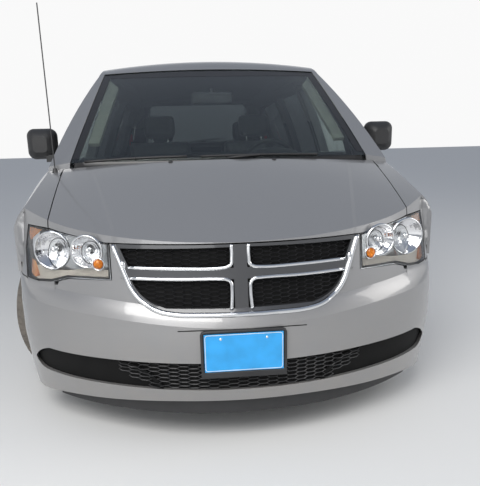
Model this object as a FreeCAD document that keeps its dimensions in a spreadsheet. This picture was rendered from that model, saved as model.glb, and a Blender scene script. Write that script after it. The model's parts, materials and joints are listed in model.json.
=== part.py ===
import FreeCAD, Part
import math
import os

# Minivan with two hinged front doors, two sliding rear doors and a top-hinged liftgate.
# Millimetres. Front faces -Y, the driver's side is +X, +Z is up, the ground is Z = 0.
# Stations called s are measured rearward from the front tip of the bumper.

doc = FreeCAD.newDocument("Minivan")
sheet = doc.addObject("Spreadsheet::Sheet", "Dimensions")

SIZES = [
    # alias, millimetres or degrees
    ("length", 5151),
    ("width", 1998),
    ("height", 1725),
    ("wheelbase", 3078),
    ("front_overhang", 965),
    ("front_track", 1666),
    ("rear_track", 1646),
    ("tyre_diameter", 724),
    ("tyre_width", 225),
    ("tyre_shoulder", 34),
    ("rim_diameter", 432),
    ("rim_width", 178),
    ("wheel_windows", 8),
    ("arch_radius", 402),
    ("nose_radius", 1250),
    ("corner_radius", 487),
    ("side_radius", 64000),
    ("widest_station", 2400),
    ("tail_radius", 3600),
    ("tail_corner", 250),
    ("panel_gap", 5),
    ("door_gap", 7),
    ("skin", 14),
    ("side_wall", 70),
    ("roof_wall", 40),
    ("hood_wall", 28),
    ("bumper_wall", 16),
    ("glass_wall", 6),
    ("glass_inset", 4),
    ("hood_front", 91),
    ("hood_front_height", 832),
    ("hood_rear", 985),
    ("hood_rear_height", 1122),
    ("hood_rear_bow", 92),
    ("cowl_gap", 30),
    ("pillar_front", 997),
    ("firewall_station", 1330),
    ("strut_radius", 24),
    ("strut_top", 880),
    ("ball_height", 215),
    ("ball_radius", 18),
    ("kingpin_lean", 10.6),
    ("steer_drop", 2.0),
    ("hood_crown", 115),
    ("hood_crown_rear", 80),
    ("hood_half_rear", 806),
    ("roof_crown", 100),
    ("glass_crown", 92),
    ("sill_height", 190),
    ("door_bottom", 318),
    ("belt_height", 1012),
    ("belt_half", 938),
    ("rail_height", 1590),
    ("rail_half", 715),
    ("widest_height", 680),
    ("floor_height", 330),
    ("floor_wall", 40),
    ("door_front", 1400),
    ("door_rear", 2400),
    ("slider_rear", 3455),
    ("liftgate_half", 770),
    ("liftgate_bottom", 640),
    ("plate_width", 305),
    ("plate_height", 152),
    ("plate_wall", 3),
    ("plate_centre", 419),
    ("steering_wheel_diameter", 385),
    ("steering_wheel_rim", 30),
    ("steering_wheel_side", 372),
    ("steering_wheel_station", 1835),
    ("steering_wheel_height", 1010),
    ("column_angle", 24),
    ("steer_rest", 24),
    ("lock_reach", 50),
    ("kingpin_inset", 96),
    ("disc_diameter", 302),
    ("disc_wall", 28),
    ("engine_length", 560),
    ("engine_width", 720),
    ("engine_height", 560),
    ("seat_width", 530),
    ("seat_side", 372),
    ("mast_length", 800),
    ("mast_diameter", 6),
    ("seat_gap", 0.3),
    ("edge_gap", 0.45),
    ("face_top", 90),
    ("crease_height", 512),
    ("lip_height", 197),
    ("lip_overrun", 5),
    ("lamp_depth", 120),
    ("lens_wall", 4),
    ("grille_wall", 22),
    ("bar_height", 43),
    ("bar_centre", 712),
    ("bar_half", 26),
    ("bumper_rear_top", 628),
    ("dash_height", 1092),
    ("spindle_radius", 18),
    ("exhaust_diameter", 50),
    ("liftgate_front", 4925),
    ("pillar_foot", 1052),
    ("spindle_reach", 50),
    ("jack_side", 890),
    ("jack_front", 1560),
    ("jack_rear", 3480),
    ("jack_height", 178),
    ("plate_bolt_spacing", 178),
    ("plate_bolt_height", 800),
]

for row, (alias, value) in enumerate(SIZES, 1):
    sheet.set("A%d" % row, alias)
    sheet.set("B%d" % row, str(value))
    sheet.setAlias("B%d" % row, alias)
doc.recompute()


class Sizes:
    """Every driving dimension, read back from the sheet."""


D = Sizes()
for alias, value in SIZES:
    setattr(D, alias, float(sheet.get(alias)))

V = FreeCAD.Vector
HALF = D.width / 2
FRONT_AXLE = D.front_overhang
REAR_AXLE = D.front_overhang + D.wheelbase
WHEEL_HEIGHT = D.tyre_diameter / 2
REACH = 1000.0
HUB_HEIGHT = WHEEL_HEIGHT + D.steer_drop
RAIL_LOW, RAIL_TOP = 405.0, 470.0


def place_y(s):
    """The Y of a station."""
    return s - D.length / 2


AXES = {
    "side": lambda u, v, w: V(w, place_y(u), v),
    "plan": lambda u, v, w: V(u, place_y(v), w),
    "front": lambda u, v, w: V(u, place_y(w), v),
}
EXTRUDE = {"side": V(1, 0, 0), "plan": V(0, 0, 1), "front": V(0, 1, 0)}


def wire(plane, points, level):
    """A closed wire. A point is (u, v), or (mid u, mid v, u, v) at the end of an arc."""
    at = AXES[plane]
    edges = []
    last = points[0]
    for point in points[1:] + [points[0][:2]]:
        end = point[-2:]
        if abs(end[0] - last[0]) + abs(end[1] - last[1]) > 1e-6:
            if len(point) == 4:
                edges.append(Part.Arc(at(*last, level), at(*point[:2], level), at(*end, level)).toShape())
            else:
                edges.append(Part.LineSegment(at(*last, level), at(*end, level)).toShape())
        last = end
    return Part.Wire(edges)


def prism(plane, points, low, high):
    """The outline on a plane, drawn out between two levels along the plane's normal."""
    face = Part.Face(wire(plane, points, low))
    return face.extrude(EXTRUDE[plane] * (high - low))


def bulge(start, end, rise):
    """An arc's (mid, end) from start to end that stands out by rise to its left."""
    (u0, v0), (u1, v1) = start[-2:], end
    span = math.hypot(u1 - u0, v1 - v0)
    return ((u0 + u1) / 2 - rise * (v1 - v0) / span, (v0 + v1) / 2 + rise * (u1 - u0) / span, u1, v1)


def spread_outline(points, grow):
    """An outline drawn in about its middle."""
    mid_x = sum(point[-2] for point in points) / len(points)
    mid_z = sum(point[-1] for point in points) / len(points)
    result = []
    for point in points:
        pairs = [point[i:i + 2] for i in range(0, len(point), 2)]
        flat = []
        for x, z in pairs:
            reach = math.hypot(x - mid_x, z - mid_z)
            flat += [x + grow * (x - mid_x) / reach, z + grow * (z - mid_z) / reach]
        result.append(tuple(flat))
    return result


def mirrored(shape):
    return shape.mirror(V(0, 0, 0), V(1, 0, 0))


def moved(shape, x=0.0, y=0.0, z=0.0):
    copy = shape.copy()
    copy.translate(V(x, y, z))
    return copy


def block(x0, x1, s0, s1, z0, z1):
    return Part.makeBox(x1 - x0, s1 - s0, z1 - z0, V(x0, place_y(s0), z0))


def solid_of(shape):
    """The shape's largest solid."""
    return max(shape.Solids, key=lambda one: one.Volume)


parts = {}


def piece(label, shape):
    """A sub-part whose shape is worked out by code."""
    thing = doc.addObject("Part::Feature", label)
    thing.Label = label
    thing.Shape = shape
    parts[label] = thing
    return thing


# Plan outline: nose arc, corner arcs, long side arcs, tail corners and tail arc
nose_centre = (0.0, D.nose_radius)
side_centre = (HALF - D.side_radius, D.widest_station)
near = D.nose_radius - D.corner_radius
far = D.side_radius - D.corner_radius
spread = math.dist(nose_centre, side_centre)
along = (near ** 2 - far ** 2 + spread ** 2) / (2 * spread)
across = math.sqrt(near ** 2 - along ** 2)
unit = ((side_centre[0] - nose_centre[0]) / spread, (side_centre[1] - nose_centre[1]) / spread)
corner_centre = min(
    [(nose_centre[0] + along * unit[0] - sign * across * unit[1],
      nose_centre[1] + along * unit[1] + sign * across * unit[0]) for sign in (1, -1)],
    key=lambda point: point[1] - point[0])
PHI_NOSE = math.degrees(math.atan2(corner_centre[0], nose_centre[1] - corner_centre[1]))
PHI_SIDE = math.degrees(math.atan2(corner_centre[0] - side_centre[0], side_centre[1] - corner_centre[1]))


def plan_point(phi, inset):
    """The point (x, s) where the plan's normal is phi degrees from straight ahead."""
    turn = math.radians(abs(phi))
    if abs(phi) <= PHI_NOSE:
        centre, radius = nose_centre, D.nose_radius
    elif abs(phi) <= PHI_SIDE:
        centre, radius = corner_centre, D.corner_radius
    else:
        centre, radius = side_centre, D.side_radius
    x = centre[0] + (radius - inset) * math.sin(turn)
    s = centre[1] - (radius - inset) * math.cos(turn)
    return (math.copysign(x, phi) if phi else 0.0, s)


def side_x(s, inset=0.0):
    """Half width of the plan's side arc at a station."""
    return side_centre[0] + math.sqrt((D.side_radius - inset) ** 2 - (s - side_centre[1]) ** 2)


def plan_outline(inset, tail=None):
    """The closed plan outline of the body, inset all round."""
    tail = D.length if tail is None else tail
    right = [plan_point(PHI_NOSE, inset)]
    right.append((*plan_point((PHI_NOSE + PHI_SIDE) / 2, inset), *plan_point(PHI_SIDE, inset)))
    tail_start = tail - D.tail_corner - inset - 110
    mid_s = (plan_point(PHI_SIDE, inset)[1] + tail_start) / 2
    right.append((side_x(mid_s, inset), mid_s, side_x(tail_start, inset), tail_start))
    corner_x = side_x(tail, inset) - D.tail_corner
    corner_s = tail - inset - corner_x ** 2 / (2 * D.tail_radius)
    right.append(bulge(right[-1], (corner_x, corner_s), -D.tail_corner * 0.27))
    left = [(-p[0], p[1]) if len(p) == 2 else (-p[0], p[1], -p[2], p[3]) for p in right]
    points = [left[0], (0.0, inset, *right[0])] + right[1:]
    points.append((0.0, tail - inset, -corner_x, corner_s))
    for before, now in zip(reversed(left[:-1]), reversed(left[1:])):
        points.append((now[0], now[1], *before[-2:]))
    return points


def side_section(row, level):
    """A front-view section of the body from a row of half widths and heights."""
    half = [
        (row["sill_x"], row["sill_z"]),
        (row["tuck_x"], row["tuck_z"]),
        (row["wide_x"], row["wide_z"], row["shoulder_x"], row["shoulder_z"]),
    ]
    half.append(bulge(half[-1], (row["belt_x"], row["belt_z"]), -row["belt_round"]))
    half.append(bulge(half[-1], (row["rail_x"], row["rail_z"]), -row["glass_round"]))
    half.append(bulge(half[-1], (row["top_x"], row["top_z"]), -row["rail_round"]))
    left = [(-half[-1][-2], half[-1][-1])]
    for before, now in zip(reversed(half[:-1]), reversed(half[1:])):
        end = (-before[-2], before[-1])
        left.append((-now[0], now[1], *end) if len(now) == 4 else end)
    return wire("front", half + left, level)


SECTION_COLUMNS = ("sill_x", "sill_z", "tuck_x", "tuck_z", "wide_x", "wide_z", "shoulder_x", "shoulder_z",
                   "belt_round", "belt_x", "belt_z", "glass_round", "rail_x", "rail_z", "rail_round",
                   "top_x", "top_z")


def section_row(*values):
    return dict(zip(SECTION_COLUMNS, values))


def cabin_row(narrow, inset):
    """The cabin's section, narrower above the belt by narrow and inset all round."""
    wide = HALF + 4 - inset
    return section_row(
        905 - inset, D.sill_height, 958 - inset, D.sill_height + 110,
        wide, D.widest_height, 968 - inset, D.belt_height - 80,
        6, D.belt_half - inset - narrow, D.belt_height,
        14, D.rail_half - inset - narrow * 0.5, D.rail_height,
        30, D.rail_half - 175 - inset, D.height + 40)


def cabin_sides(inset):
    """The cabin's side walls as a loft along the van, closed above the roof."""
    rows = [(700, 46), (1300, 26), (2000, 4), (3000, 0), (4200, 4), (5300, 22)]
    wires = [side_section(cabin_row(narrow, inset), s) for s, narrow in rows]
    return Part.makeLoft(wires, True, False)


def cabin_profile(drop, forward, inset):
    """Side-view profile of windscreen, roof and tail. Drop and forward shape its crown."""
    glass_drop = drop * D.glass_crown / D.roof_crown
    points = [(800, 60), (800, 1031 - glass_drop - inset)]
    points.append(bulge(points[-1], (1870 + inset * 0.4, 1640 - glass_drop - inset), 18))
    points.append(bulge(points[-1], (2070 + inset * 0.4, D.height - 29 - drop - inset), 14))
    points.append((3300, D.height - drop - inset, 4900, D.height - 52 - drop - inset))
    points.append(bulge(points[-1], (5006 - forward - inset, 1600 - drop * 0.6 - inset), 16))
    points.append((5086 - forward - inset, 1150 - drop * 0.3))
    points.append(bulge(points[-1], (5112 - forward - inset, 980 - drop * 0.3), 6))
    points.append((5116 - forward - inset, 60))
    return points


def cabin_cap(inset):
    """Windscreen, roof and tail surfaces as a loft across the van."""
    wires = []
    for x, share in ((-REACH, 1.0), (0.0, 0.0), (REACH, 1.0)):
        wires.append(wire("side", cabin_profile(share * D.roof_crown, share * 150, inset), x))
    return Part.makeLoft(wires, True, False)


def cabin_block(side_inset, top_inset):
    """The cabin's solid, with its walls and its roof inset."""
    plan = prism("plan", plan_outline(side_inset, D.length - 20), 0, D.height + 200)
    return cabin_sides(side_inset).common(cabin_cap(top_inset)).common(plan)


def front_row(row, inset):
    """The nose's section at one station, from fender shoulder heights."""
    wide = HALF + 4 - inset
    return section_row(
        905 - inset, D.sill_height - 60, 958 - inset, D.sill_height + 110,
        wide, D.widest_height, row["side_x"] - inset, row["side_z"],
        row["round"], row["edge_x"] - inset, row["edge_z"],
        5, row["edge_x"] - inset - 60, 1340,
        5, 500, 1420)


NOSE_COLUMNS = ("station", "side_x", "side_z", "round", "edge_x", "edge_z")
NOSE_TABLE = [
    (-60, 962, 700, 42, 800, 900),
    (300, 966, 740, 42, 815, 925),
    (640, 970, 800, 40, 838, 995),
    (1000, 970, 890, 28, 880, 1062),
    (1450, 968, 932, 10, 914, 1022),
]


def nose_sides(inset):
    wires = []
    for values in NOSE_TABLE:
        row = dict(zip(NOSE_COLUMNS, values))
        wires.append(side_section(front_row(row, inset), row["station"]))
    return Part.makeLoft(wires, True, False)


def hood_profile(drop, inset):
    """Side-view profile of the hood, drawn on ahead of the nose and under the windscreen."""
    front = (D.hood_front, D.hood_front_height - drop - inset)
    rear = (D.hood_rear, D.hood_rear_height - drop * D.hood_crown_rear / D.hood_crown - inset)
    lead = (D.hood_front - 200, front[1] - 130)
    return [lead, front, bulge(front, rear, 24), (1500, rear[1] + 62), (1500, 60), (lead[0], 60)]


def nose_cap(inset):
    wires = []
    for x, share in ((-REACH, 1.0), (0.0, 0.0), (REACH, 1.0)):
        wires.append(wire("side", hood_profile(share * D.hood_crown, inset), x))
    return Part.makeLoft(wires, True, False)


def nose_block(side_inset, top_inset):
    plan = prism("plan", plan_outline(side_inset), 0, D.height)
    return nose_sides(side_inset).common(nose_cap(top_inset)).common(plan)


def wheel_cut(s, radius, x0, x1):
    return Part.makeCylinder(radius, x1 - x0, V(x0, place_y(s), WHEEL_HEIGHT), V(1, 0, 0))


def both_sides(shape):
    return shape.fuse(mirrored(shape))


# The shells that the panels are cut from
cabin_outer = cabin_block(0, 0)
cabin_skin = cabin_block(D.skin, D.skin)
cabin_inner = cabin_block(D.side_wall, D.roof_wall)
nose_outer = nose_block(0, 0)
nose_inner = nose_block(D.skin, D.skin)
nose_seat = nose_block(D.skin + D.seat_gap, D.skin + D.seat_gap)

PHI_HOOD = 45.0


def hood_outline(grow):
    """Plan of the hood, from its leading edge to the cowl."""
    corner_x, rear = D.hood_half_rear + grow, D.hood_rear + grow
    front_x, front_s = plan_point(PHI_HOOD, D.face_top - 4)
    front_x += grow
    return [(-front_x, -300), (front_x, -300), (front_x, front_s), (corner_x, rear),
            (0, rear - D.hood_rear_bow, -corner_x, rear), (-front_x, front_s)]


def door_outline(grow):
    """Side view of the front door's opening, grown by a gap."""
    front, rear = D.door_front - grow, D.door_rear + grow
    low = D.door_bottom - grow
    return [
        (front + 20, low), (front, 700), (front, D.belt_height),
        (front + 34, 1236 + grow), (front + 540, 1524 + grow),
        bulge((front + 540, 1524 + grow), (rear - 10, 1582 + grow), 8),
        (rear, D.belt_height), (rear + 6, low),
    ]


def slider_outline(grow):
    front, rear = D.door_rear + 2 * D.panel_gap - grow, D.slider_rear + grow
    low = D.door_bottom - grow
    return [
        (front + 6, low), (front, D.belt_height), (front - 10, 1584 + grow),
        bulge((front - 10, 1584 + grow), (rear - 14, 1578 + grow), 4),
        (rear, D.belt_height), (rear + 34, 880), (rear + 120, 700), (rear + 130, low),
    ]


def front_window(grow):
    front, rear = D.door_front + 180 - grow, D.door_rear - 70 + grow
    return [
        (front, D.belt_height + 14 - grow), (front + 2, 1264 + grow), (front + 350, 1462 + grow),
        bulge((front + 350, 1462 + grow), (rear - 8, 1516 + grow), 8),
        (rear, D.belt_height + 18 - grow),
    ]


def slider_window(grow):
    front, rear = D.door_rear + 80 - grow, D.slider_rear - 78 + grow
    return [
        (front, D.belt_height + 18 - grow), (front - 8, 1518 + grow),
        bulge((front - 8, 1518 + grow), (rear - 12, 1512 + grow), 5), (rear, D.belt_height + 22 - grow),
    ]


def quarter_window(grow):
    front = D.slider_rear + 70 - grow
    rear = 4790 + grow
    return [
        (front, D.belt_height + 24 - grow), (front - 8, 1512 + grow),
        bulge((front - 8, 1512 + grow), (rear - 130, 1486 + grow), 5),
        bulge((rear - 130, 1486 + grow), (rear, D.belt_height + 60), 30),
        (rear - 60, D.belt_height + 30 - grow),
    ]


def pillar_window(grow):
    """The small fixed pane ahead of the front door."""
    rear = D.door_front - 28 + grow
    return [(rear - 230, 1080 - grow), (rear + 26, 1206 + grow), (rear, 1052 - grow), (rear - 190, 1058 - grow)]


SIDE_LOW, SIDE_HIGH = 560.0, 1100.0


def side_cut(points):
    return prism("side", points, SIDE_LOW, SIDE_HIGH)


# Walls of the cabin
cabin_shell = cabin_outer.cut(cabin_inner)

FLOOR_TOP = D.floor_height
RAIL_SPLIT = D.rail_half - 62
roof_region = block(-RAIL_SPLIT, RAIL_SPLIT, 1700, 2100, 1400, 1900)
roof_region = roof_region.fuse(block(-RAIL_SPLIT, RAIL_SPLIT, 2100, D.liftgate_front, D.rail_height + 10, 1900))
windscreen_outline = [
    (-790, 1000), (790, 1000), (772, 1120), (676, 1608),
    bulge((676, 1608), (-676, 1608), -18), (-772, 1120),
]
screen_zone = block(-REACH, REACH, 780, 1995, 1000, 1800)
screen_prism = prism("front", windscreen_outline, 700, 2100)

windscreen_hole = screen_prism.common(screen_zone)
roof_panel = cabin_shell.common(roof_region).cut(windscreen_hole)
roof_panel = solid_of(roof_panel)
piece("roof_panel", roof_panel)

gap = D.panel_gap
body_shell = cabin_shell.cut(roof_region).cut(block(-RAIL_SPLIT, RAIL_SPLIT, 4900, D.liftgate_front + gap,
                                                   D.rail_height + 10, 1900))
body_shell = body_shell.cut(windscreen_hole)
body_shell = body_shell.cut(block(-REACH, REACH, 0, D.pillar_front, 0, 1400))
body_shell = body_shell.cut(block(-REACH, REACH, 0, D.door_front - 240, 0, D.pillar_foot))
liftgate_outline = [
    (-D.liftgate_half, D.liftgate_bottom), (D.liftgate_half, D.liftgate_bottom),
    (D.liftgate_half, 1180), (D.rail_half - 62, 1700), (62 - D.rail_half, 1700), (-D.liftgate_half, 1180),
]


def grown(points, grow):
    """A front-view outline grown sideways, and downward along its low edge."""
    result = []
    for point in points:
        x, z = point[-2:]
        end = (x + math.copysign(1, x) * grow, z - grow if z < 1000 else z)
        result.append((*point[:-2], *end))
    return result


tail_hole = prism("front", grown(liftgate_outline, gap), 4925, 5300)
body_shell = body_shell.cut(tail_hole)
for cutter in (side_cut(door_outline(D.door_gap / 2)), side_cut(slider_outline(gap / 2)),
               side_cut(spread_outline(quarter_window(0), D.edge_gap)),
               side_cut(spread_outline(pillar_window(0), D.edge_gap))):
    body_shell = body_shell.cut(both_sides(cutter))
body_shell = body_shell.cut(both_sides(wheel_cut(FRONT_AXLE, D.arch_radius, 400, 1100)))
body_shell = body_shell.cut(both_sides(wheel_cut(REAR_AXLE, D.arch_radius - 10, 400, 1100)))
body_shell = body_shell.cut(block(-640, 640, 800, 5300, 0, D.floor_height + 20))
fender_rear = D.door_front - D.panel_gap
front_box = block(-REACH, REACH, 0, fender_rear + 2, 0, D.pillar_foot)
front_part = body_shell.common(front_box).common(nose_seat)
body_shell = body_shell.cut(front_box).fuse(front_part)
body_side = solid_of(body_shell.common(block(0, 1100, 0, 5300, 0, 1900)))
jack_pads = [block(D.jack_side - 15, D.jack_side + 15, s - 30, s + 30, D.jack_height, D.sill_height + 4)
             for s in (D.jack_front, D.jack_rear)]
body_side = body_side.fuse(jack_pads)
tail_lamp_outline = [(D.liftgate_half + 2 * gap, 840), (980, 840), (980, 1235), (D.liftgate_half + 2 * gap, 1235)]
body_side = solid_of(body_side.cut(prism("front", spread_outline(tail_lamp_outline, D.edge_gap), 4888, 5300)))
flange = moved(cabin_inner, y=-D.seat_gap).common(block(745, 800, 4600, 5200, 760, 1150))
flange = flange.fuse(moved(cabin_inner, y=5).common(block(778, 800, 4600, 5200, 760, 1150)))
body_side = solid_of(body_side.fuse(flange.cut(moved(cabin_inner, y=-12))))

# Lip on the middle pillar that the front and sliding doors close against
pillar_front, pillar_rear = D.door_rear + D.door_gap / 2, D.door_rear + 2 * gap - gap / 2
lip = moved(cabin_inner, x=-D.seat_gap).common(block(760, 960, D.door_rear - 50, D.door_rear + 50, 900, 960))
lip = lip.fuse(moved(cabin_inner, x=5).common(block(760, 960, pillar_front, pillar_rear, 900, 960)))
body_side = solid_of(body_side.fuse(lip.cut(moved(cabin_inner, x=-14))))
piece("body_side_left", body_side)
piece("body_side_right", mirrored(body_side))

# Windscreen and side glass lie just under the outer surface
glass_outer = cabin_block(D.glass_inset, D.glass_inset)
glass_inner = cabin_block(D.glass_inset + D.glass_wall, D.glass_inset + D.glass_wall)
glass_shell = glass_outer.cut(glass_inner)
windscreen = glass_shell.common(prism("front", spread_outline(windscreen_outline, -D.edge_gap), 880, 1960))
windscreen = windscreen.common(block(-REACH, REACH, 880, 1950, 1075, 1640))
windscreen = windscreen.cut(prism("plan", hood_outline(D.cowl_gap), 700, 1400))
piece("windscreen", solid_of(windscreen))


def side_pane(points):
    return solid_of(glass_shell.common(side_cut(points)))


panes = [side_pane(slider_window(0)), side_pane(quarter_window(0)), side_pane(pillar_window(0))]
piece("side_glass", Part.makeCompound(panes + [mirrored(pane) for pane in panes]))

# Doors
door_inner_cut = 22.0
skin_part = cabin_outer.common(side_cut(door_outline(-D.door_gap / 2))).cut(cabin_skin)
core = cabin_skin.common(side_cut(door_outline(-D.door_gap / 2 - door_inner_cut))).cut(cabin_inner)
door = solid_of(skin_part.fuse(core).cut(side_cut(spread_outline(front_window(0), D.edge_gap))))
pane = side_pane(front_window(0))
slider = cabin_outer.common(side_cut(slider_outline(-gap / 2))).cut(cabin_inner)
slider = slider.cut(side_cut(spread_outline(slider_window(0), D.edge_gap)))
catch = moved(cabin_inner, x=-D.seat_gap).common(block(760, 940, D.slider_rear - 60, D.slider_rear + 60, 930, 980))
catch = catch.fuse(moved(cabin_inner, x=5).common(block(760, 940, D.slider_rear - 60, D.slider_rear - 8, 930, 980)))
slider = solid_of(slider.fuse(catch.cut(moved(cabin_inner, x=-14))))
for label, shape in (("front_door", door), ("front_door_glass", pane), ("sliding_door", slider)):
    piece(label + "_left", shape)
    piece(label + "_right", mirrored(shape))

# Liftgate
liftgate = cabin_shell.common(prism("front", liftgate_outline, 4925 + gap, 5300))
tail_window = [(-620, 1120), (620, 1120), (560, 1560), (-560, 1560)]
liftgate_full = solid_of(liftgate)
liftgate_full = liftgate_full.cut(prism("front", tail_window, 4800, 5300))
plate_recess = block(-190, 190, 5096, 5200, 700, 880)
liftgate_full = liftgate_full.cut(plate_recess)
for x in (-D.plate_bolt_spacing / 2, D.plate_bolt_spacing / 2):
    bolt_hole = Part.makeCylinder(3, 200, V(x, place_y(5000), D.plate_bolt_height), V(0, 1, 0))
    liftgate_full = liftgate_full.cut(bolt_hole)
piece("liftgate", solid_of(liftgate_full))
tail_glass = glass_shell.common(prism("front", spread_outline(tail_window, -D.edge_gap), 4800, 5300))
piece("liftgate_glass", solid_of(tail_glass))


# Nose: sections of the face round the plan, from the lip up to the hood
FACE_COLUMNS = ("phi", "lip_in", "lip_z", "low_in", "low_z", "nose_in", "nose_z", "crease_in", "crease_z",
                "band_in", "band_z", "top_in")
FACE_TABLE = [
    (0, 42, 0, 24, 250, 12, 332, 8, 0, 46, 580, 92),
    (14, 42, -4, 24, 249, 12, 333, 8, 14, 46, 588, 92),
    (28, 42, -22, 24, 247, 11, 335, 8, 36, 44, 612, 92),
    (42, 42, -44, 24, 245, 10, 337, 8, 50, 40, 630, 92),
    (56, 38, -58, 22, 245, 8, 338, 7, 56, 32, 640, 84),
    (70, 30, -60, 16, 246, 5, 340, 4, 58, 20, 650, 60),
    (84, 20, -60, 8, 248, 2, 342, 2, 60, 6, 660, 24),
]
FACE_DEPTH = 420.0
FACE_LEVEL = 960.0


def face_section(row, inset):
    """The face's section in the upright plane that is normal to the plan at phi. An inset one runs on below the lip."""
    lip = D.lip_height + row["lip_z"]
    points = [
        (row["lip_in"] + inset, lip),
        (row["low_in"] + inset, row["low_z"]),
        (row["nose_in"] + inset, row["nose_z"]),
    ]
    points.append(bulge(points[-1], (row["crease_in"] + inset, D.crease_height + row["crease_z"]), 7))
    points.append(bulge(points[-1], (row["band_in"] + inset, row["band_z"]), 4))
    slope = (row["top_in"] - row["band_in"]) / (860 - row["band_z"])
    points.append((row["band_in"] + inset + slope * (FACE_LEVEL - row["band_z"]), FACE_LEVEL))
    points.append((FACE_DEPTH + inset, FACE_LEVEL))
    if inset:
        points += [(FACE_DEPTH + inset, lip - D.lip_overrun), (row["lip_in"] + inset, lip - D.lip_overrun)]
    else:
        points.append((FACE_DEPTH, lip))
    turn = math.radians(row["phi"])
    base_x, base_s = plan_point(row["phi"], 0)
    step = (-math.sin(turn), math.cos(turn))

    def at(point):
        return V(base_x + point[0] * step[0], place_y(base_s + point[0] * step[1]), point[1])

    edges = []
    last = points[0]
    for point in points[1:] + [points[0]]:
        end = point[-2:]
        if len(point) == 4:
            edges.append(Part.Arc(at(last), at(point[:2]), at(end)).toShape())
        else:
            edges.append(Part.LineSegment(at(last), at(end)).toShape())
        last = end
    return Part.Wire(edges)


def face_block(inset):
    """The solid behind the nose's raked face, round to the wheel arches."""
    rows = [dict(zip(FACE_COLUMNS, values)) for values in FACE_TABLE]
    rows = [dict(row, phi=-row["phi"]) for row in reversed(rows[1:])] + rows
    return Part.makeLoft([face_section(row, inset) for row in rows], True, False)


face_outer = face_block(0)
rear_face = prism("plan", plan_outline(D.face_top + 40, 3000), 60, 1400)
rear_face = rear_face.fuse(block(-REACH, REACH, 560, 1500, 60, 1400))
face_solid = face_outer.common(block(-REACH, REACH, -100, 600, 60, FACE_LEVEL)).fuse(rear_face)
nose_front = nose_outer.common(block(-1100, 1100, -100, 700, 0, 1100))

lamp_outline = [
    (506, 822), (786, 860), (884, 862), (905, 760), (896, 640), (833, 640), (767, 648), (688, 674), (503, 682),
]

# Hood, with its leading edge on the face's surface
hood_solid = nose_outer.common(face_solid)
hood_zone = prism("plan", hood_outline(0), 780, 1400)
lamp_top_cut = prism("front", [(-900, 600), (900, 600), (900, 868), (790, 868), (560, 826), (0, 828),
                               (-560, 826), (-790, 868), (-900, 868)], -100, 560)
hood = hood_solid.common(hood_zone).cut(moved(nose_outer, z=-D.hood_wall)).cut(lamp_top_cut)
lamp_hole = prism("front", spread_outline(lamp_outline, D.panel_gap), -100, 640)
hood = hood.cut(both_sides(lamp_hole))
piece("hood", solid_of(hood))

# Fenders, with a wall on the face beside the lamps
fender_zone = block(0, 1100, 300, fender_rear, 0, 1100).cut(prism("plan", hood_outline(D.panel_gap), 700, 1400))
fender_inner = face_block(D.skin).common(block(-REACH, REACH, -100, 600, 60, FACE_LEVEL)).fuse(rear_face)
fender = nose_outer.common(fender_zone).cut(nose_inner.common(fender_inner))
fender = fender.cut(block(0, 1100, 0, 600, 0, 645)).cut(wheel_cut(FRONT_AXLE, D.arch_radius, 300, 1100))
fender = fender.cut(block(0, 1100, FRONT_AXLE, fender_rear + 9, 0, D.sill_height + 4))
fender = fender.cut(block(-1, D.hood_half_rear + D.panel_gap, 880, fender_rear + 9, 600, 1400))
fender = fender.cut(block(-1, REACH, D.pillar_front - D.seat_gap, fender_rear + 9,
                          D.pillar_foot - D.seat_gap, 1400))
fender = fender.common(face_solid)
fender = solid_of(fender.cut(lamp_hole))
piece("fender_left", fender)
piece("fender_right", mirrored(fender))

# Front bumper
grille_outline = [
    (-495, 822), (495, 822), (469, 757), (442, 690), bulge((442, 690), (335, 574), 20), (277, 558),
    (0, 552, -277, 558), (-335, 574), bulge((-335, 574), (-442, 690), 20), (-469, 757),
]
intake_outline = [
    (-800, 366), (0, 372, 800, 366), bulge((800, 366), (888, 292), 12), bulge((888, 292), (830, 250), 12),
    (0, 252, -830, 250), bulge((-830, 250), (-888, 292), 12), bulge((-888, 292), (-800, 366), 12),
]
bumper_zone = block(-REACH, REACH, -100, 585, 100, 640).fuse(block(-520, 520, -100, 300, 600, 822))
bumper_zone = bumper_zone.fuse(block(-REACH, REACH, -100, 300 - D.panel_gap, 600, 700))
bumper_inner = face_block(D.bumper_wall)
bumper_seat = face_block(D.bumper_wall + D.seat_gap)
bumper = face_outer.common(bumper_zone).cut(bumper_inner).common(nose_front)
bumper = bumper.cut(prism("front", grille_outline, -100, 400))
bumper = bumper.cut(prism("front", intake_outline, -100, 500))
bumper = bumper.cut(both_sides(lamp_hole)).cut(both_sides(wheel_cut(FRONT_AXLE, D.arch_radius, 300, 1100)))
piece("front_bumper", solid_of(bumper))

# Lower intake: a backing sheet behind the bumper, solid end blanks and a curved rib at each side of the mesh
blank_outline = [(498, 341), bulge((498, 341), (332, 262), -26), (332, 215), (960, 215), (960, 402), (520, 402)]
rib_outline = [(492, 362), bulge((492, 362), (318, 262), -26), (318, 240), (340, 240), (340, 262),
               bulge((340, 262), (506, 348), 26), (506, 362)]
intake_zone = block(-REACH, REACH, -100, 520, 215, RAIL_LOW - 3)
mesh_sheet = bumper_seat.common(intake_zone).cut(face_block(D.bumper_wall + 10))
blank = prism("front", blank_outline, -100, 520).common(mesh_sheet)
rib = face_block(6).common(prism("front", rib_outline, -100, 300)).cut(face_block(D.bumper_wall + 6))
rib = rib.common(prism("front", spread_outline(intake_outline, -D.edge_gap), -100, 300))
piece("lower_grille", solid_of(mesh_sheet.fuse([blank, mirrored(blank), rib, mirrored(rib)])))

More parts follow.
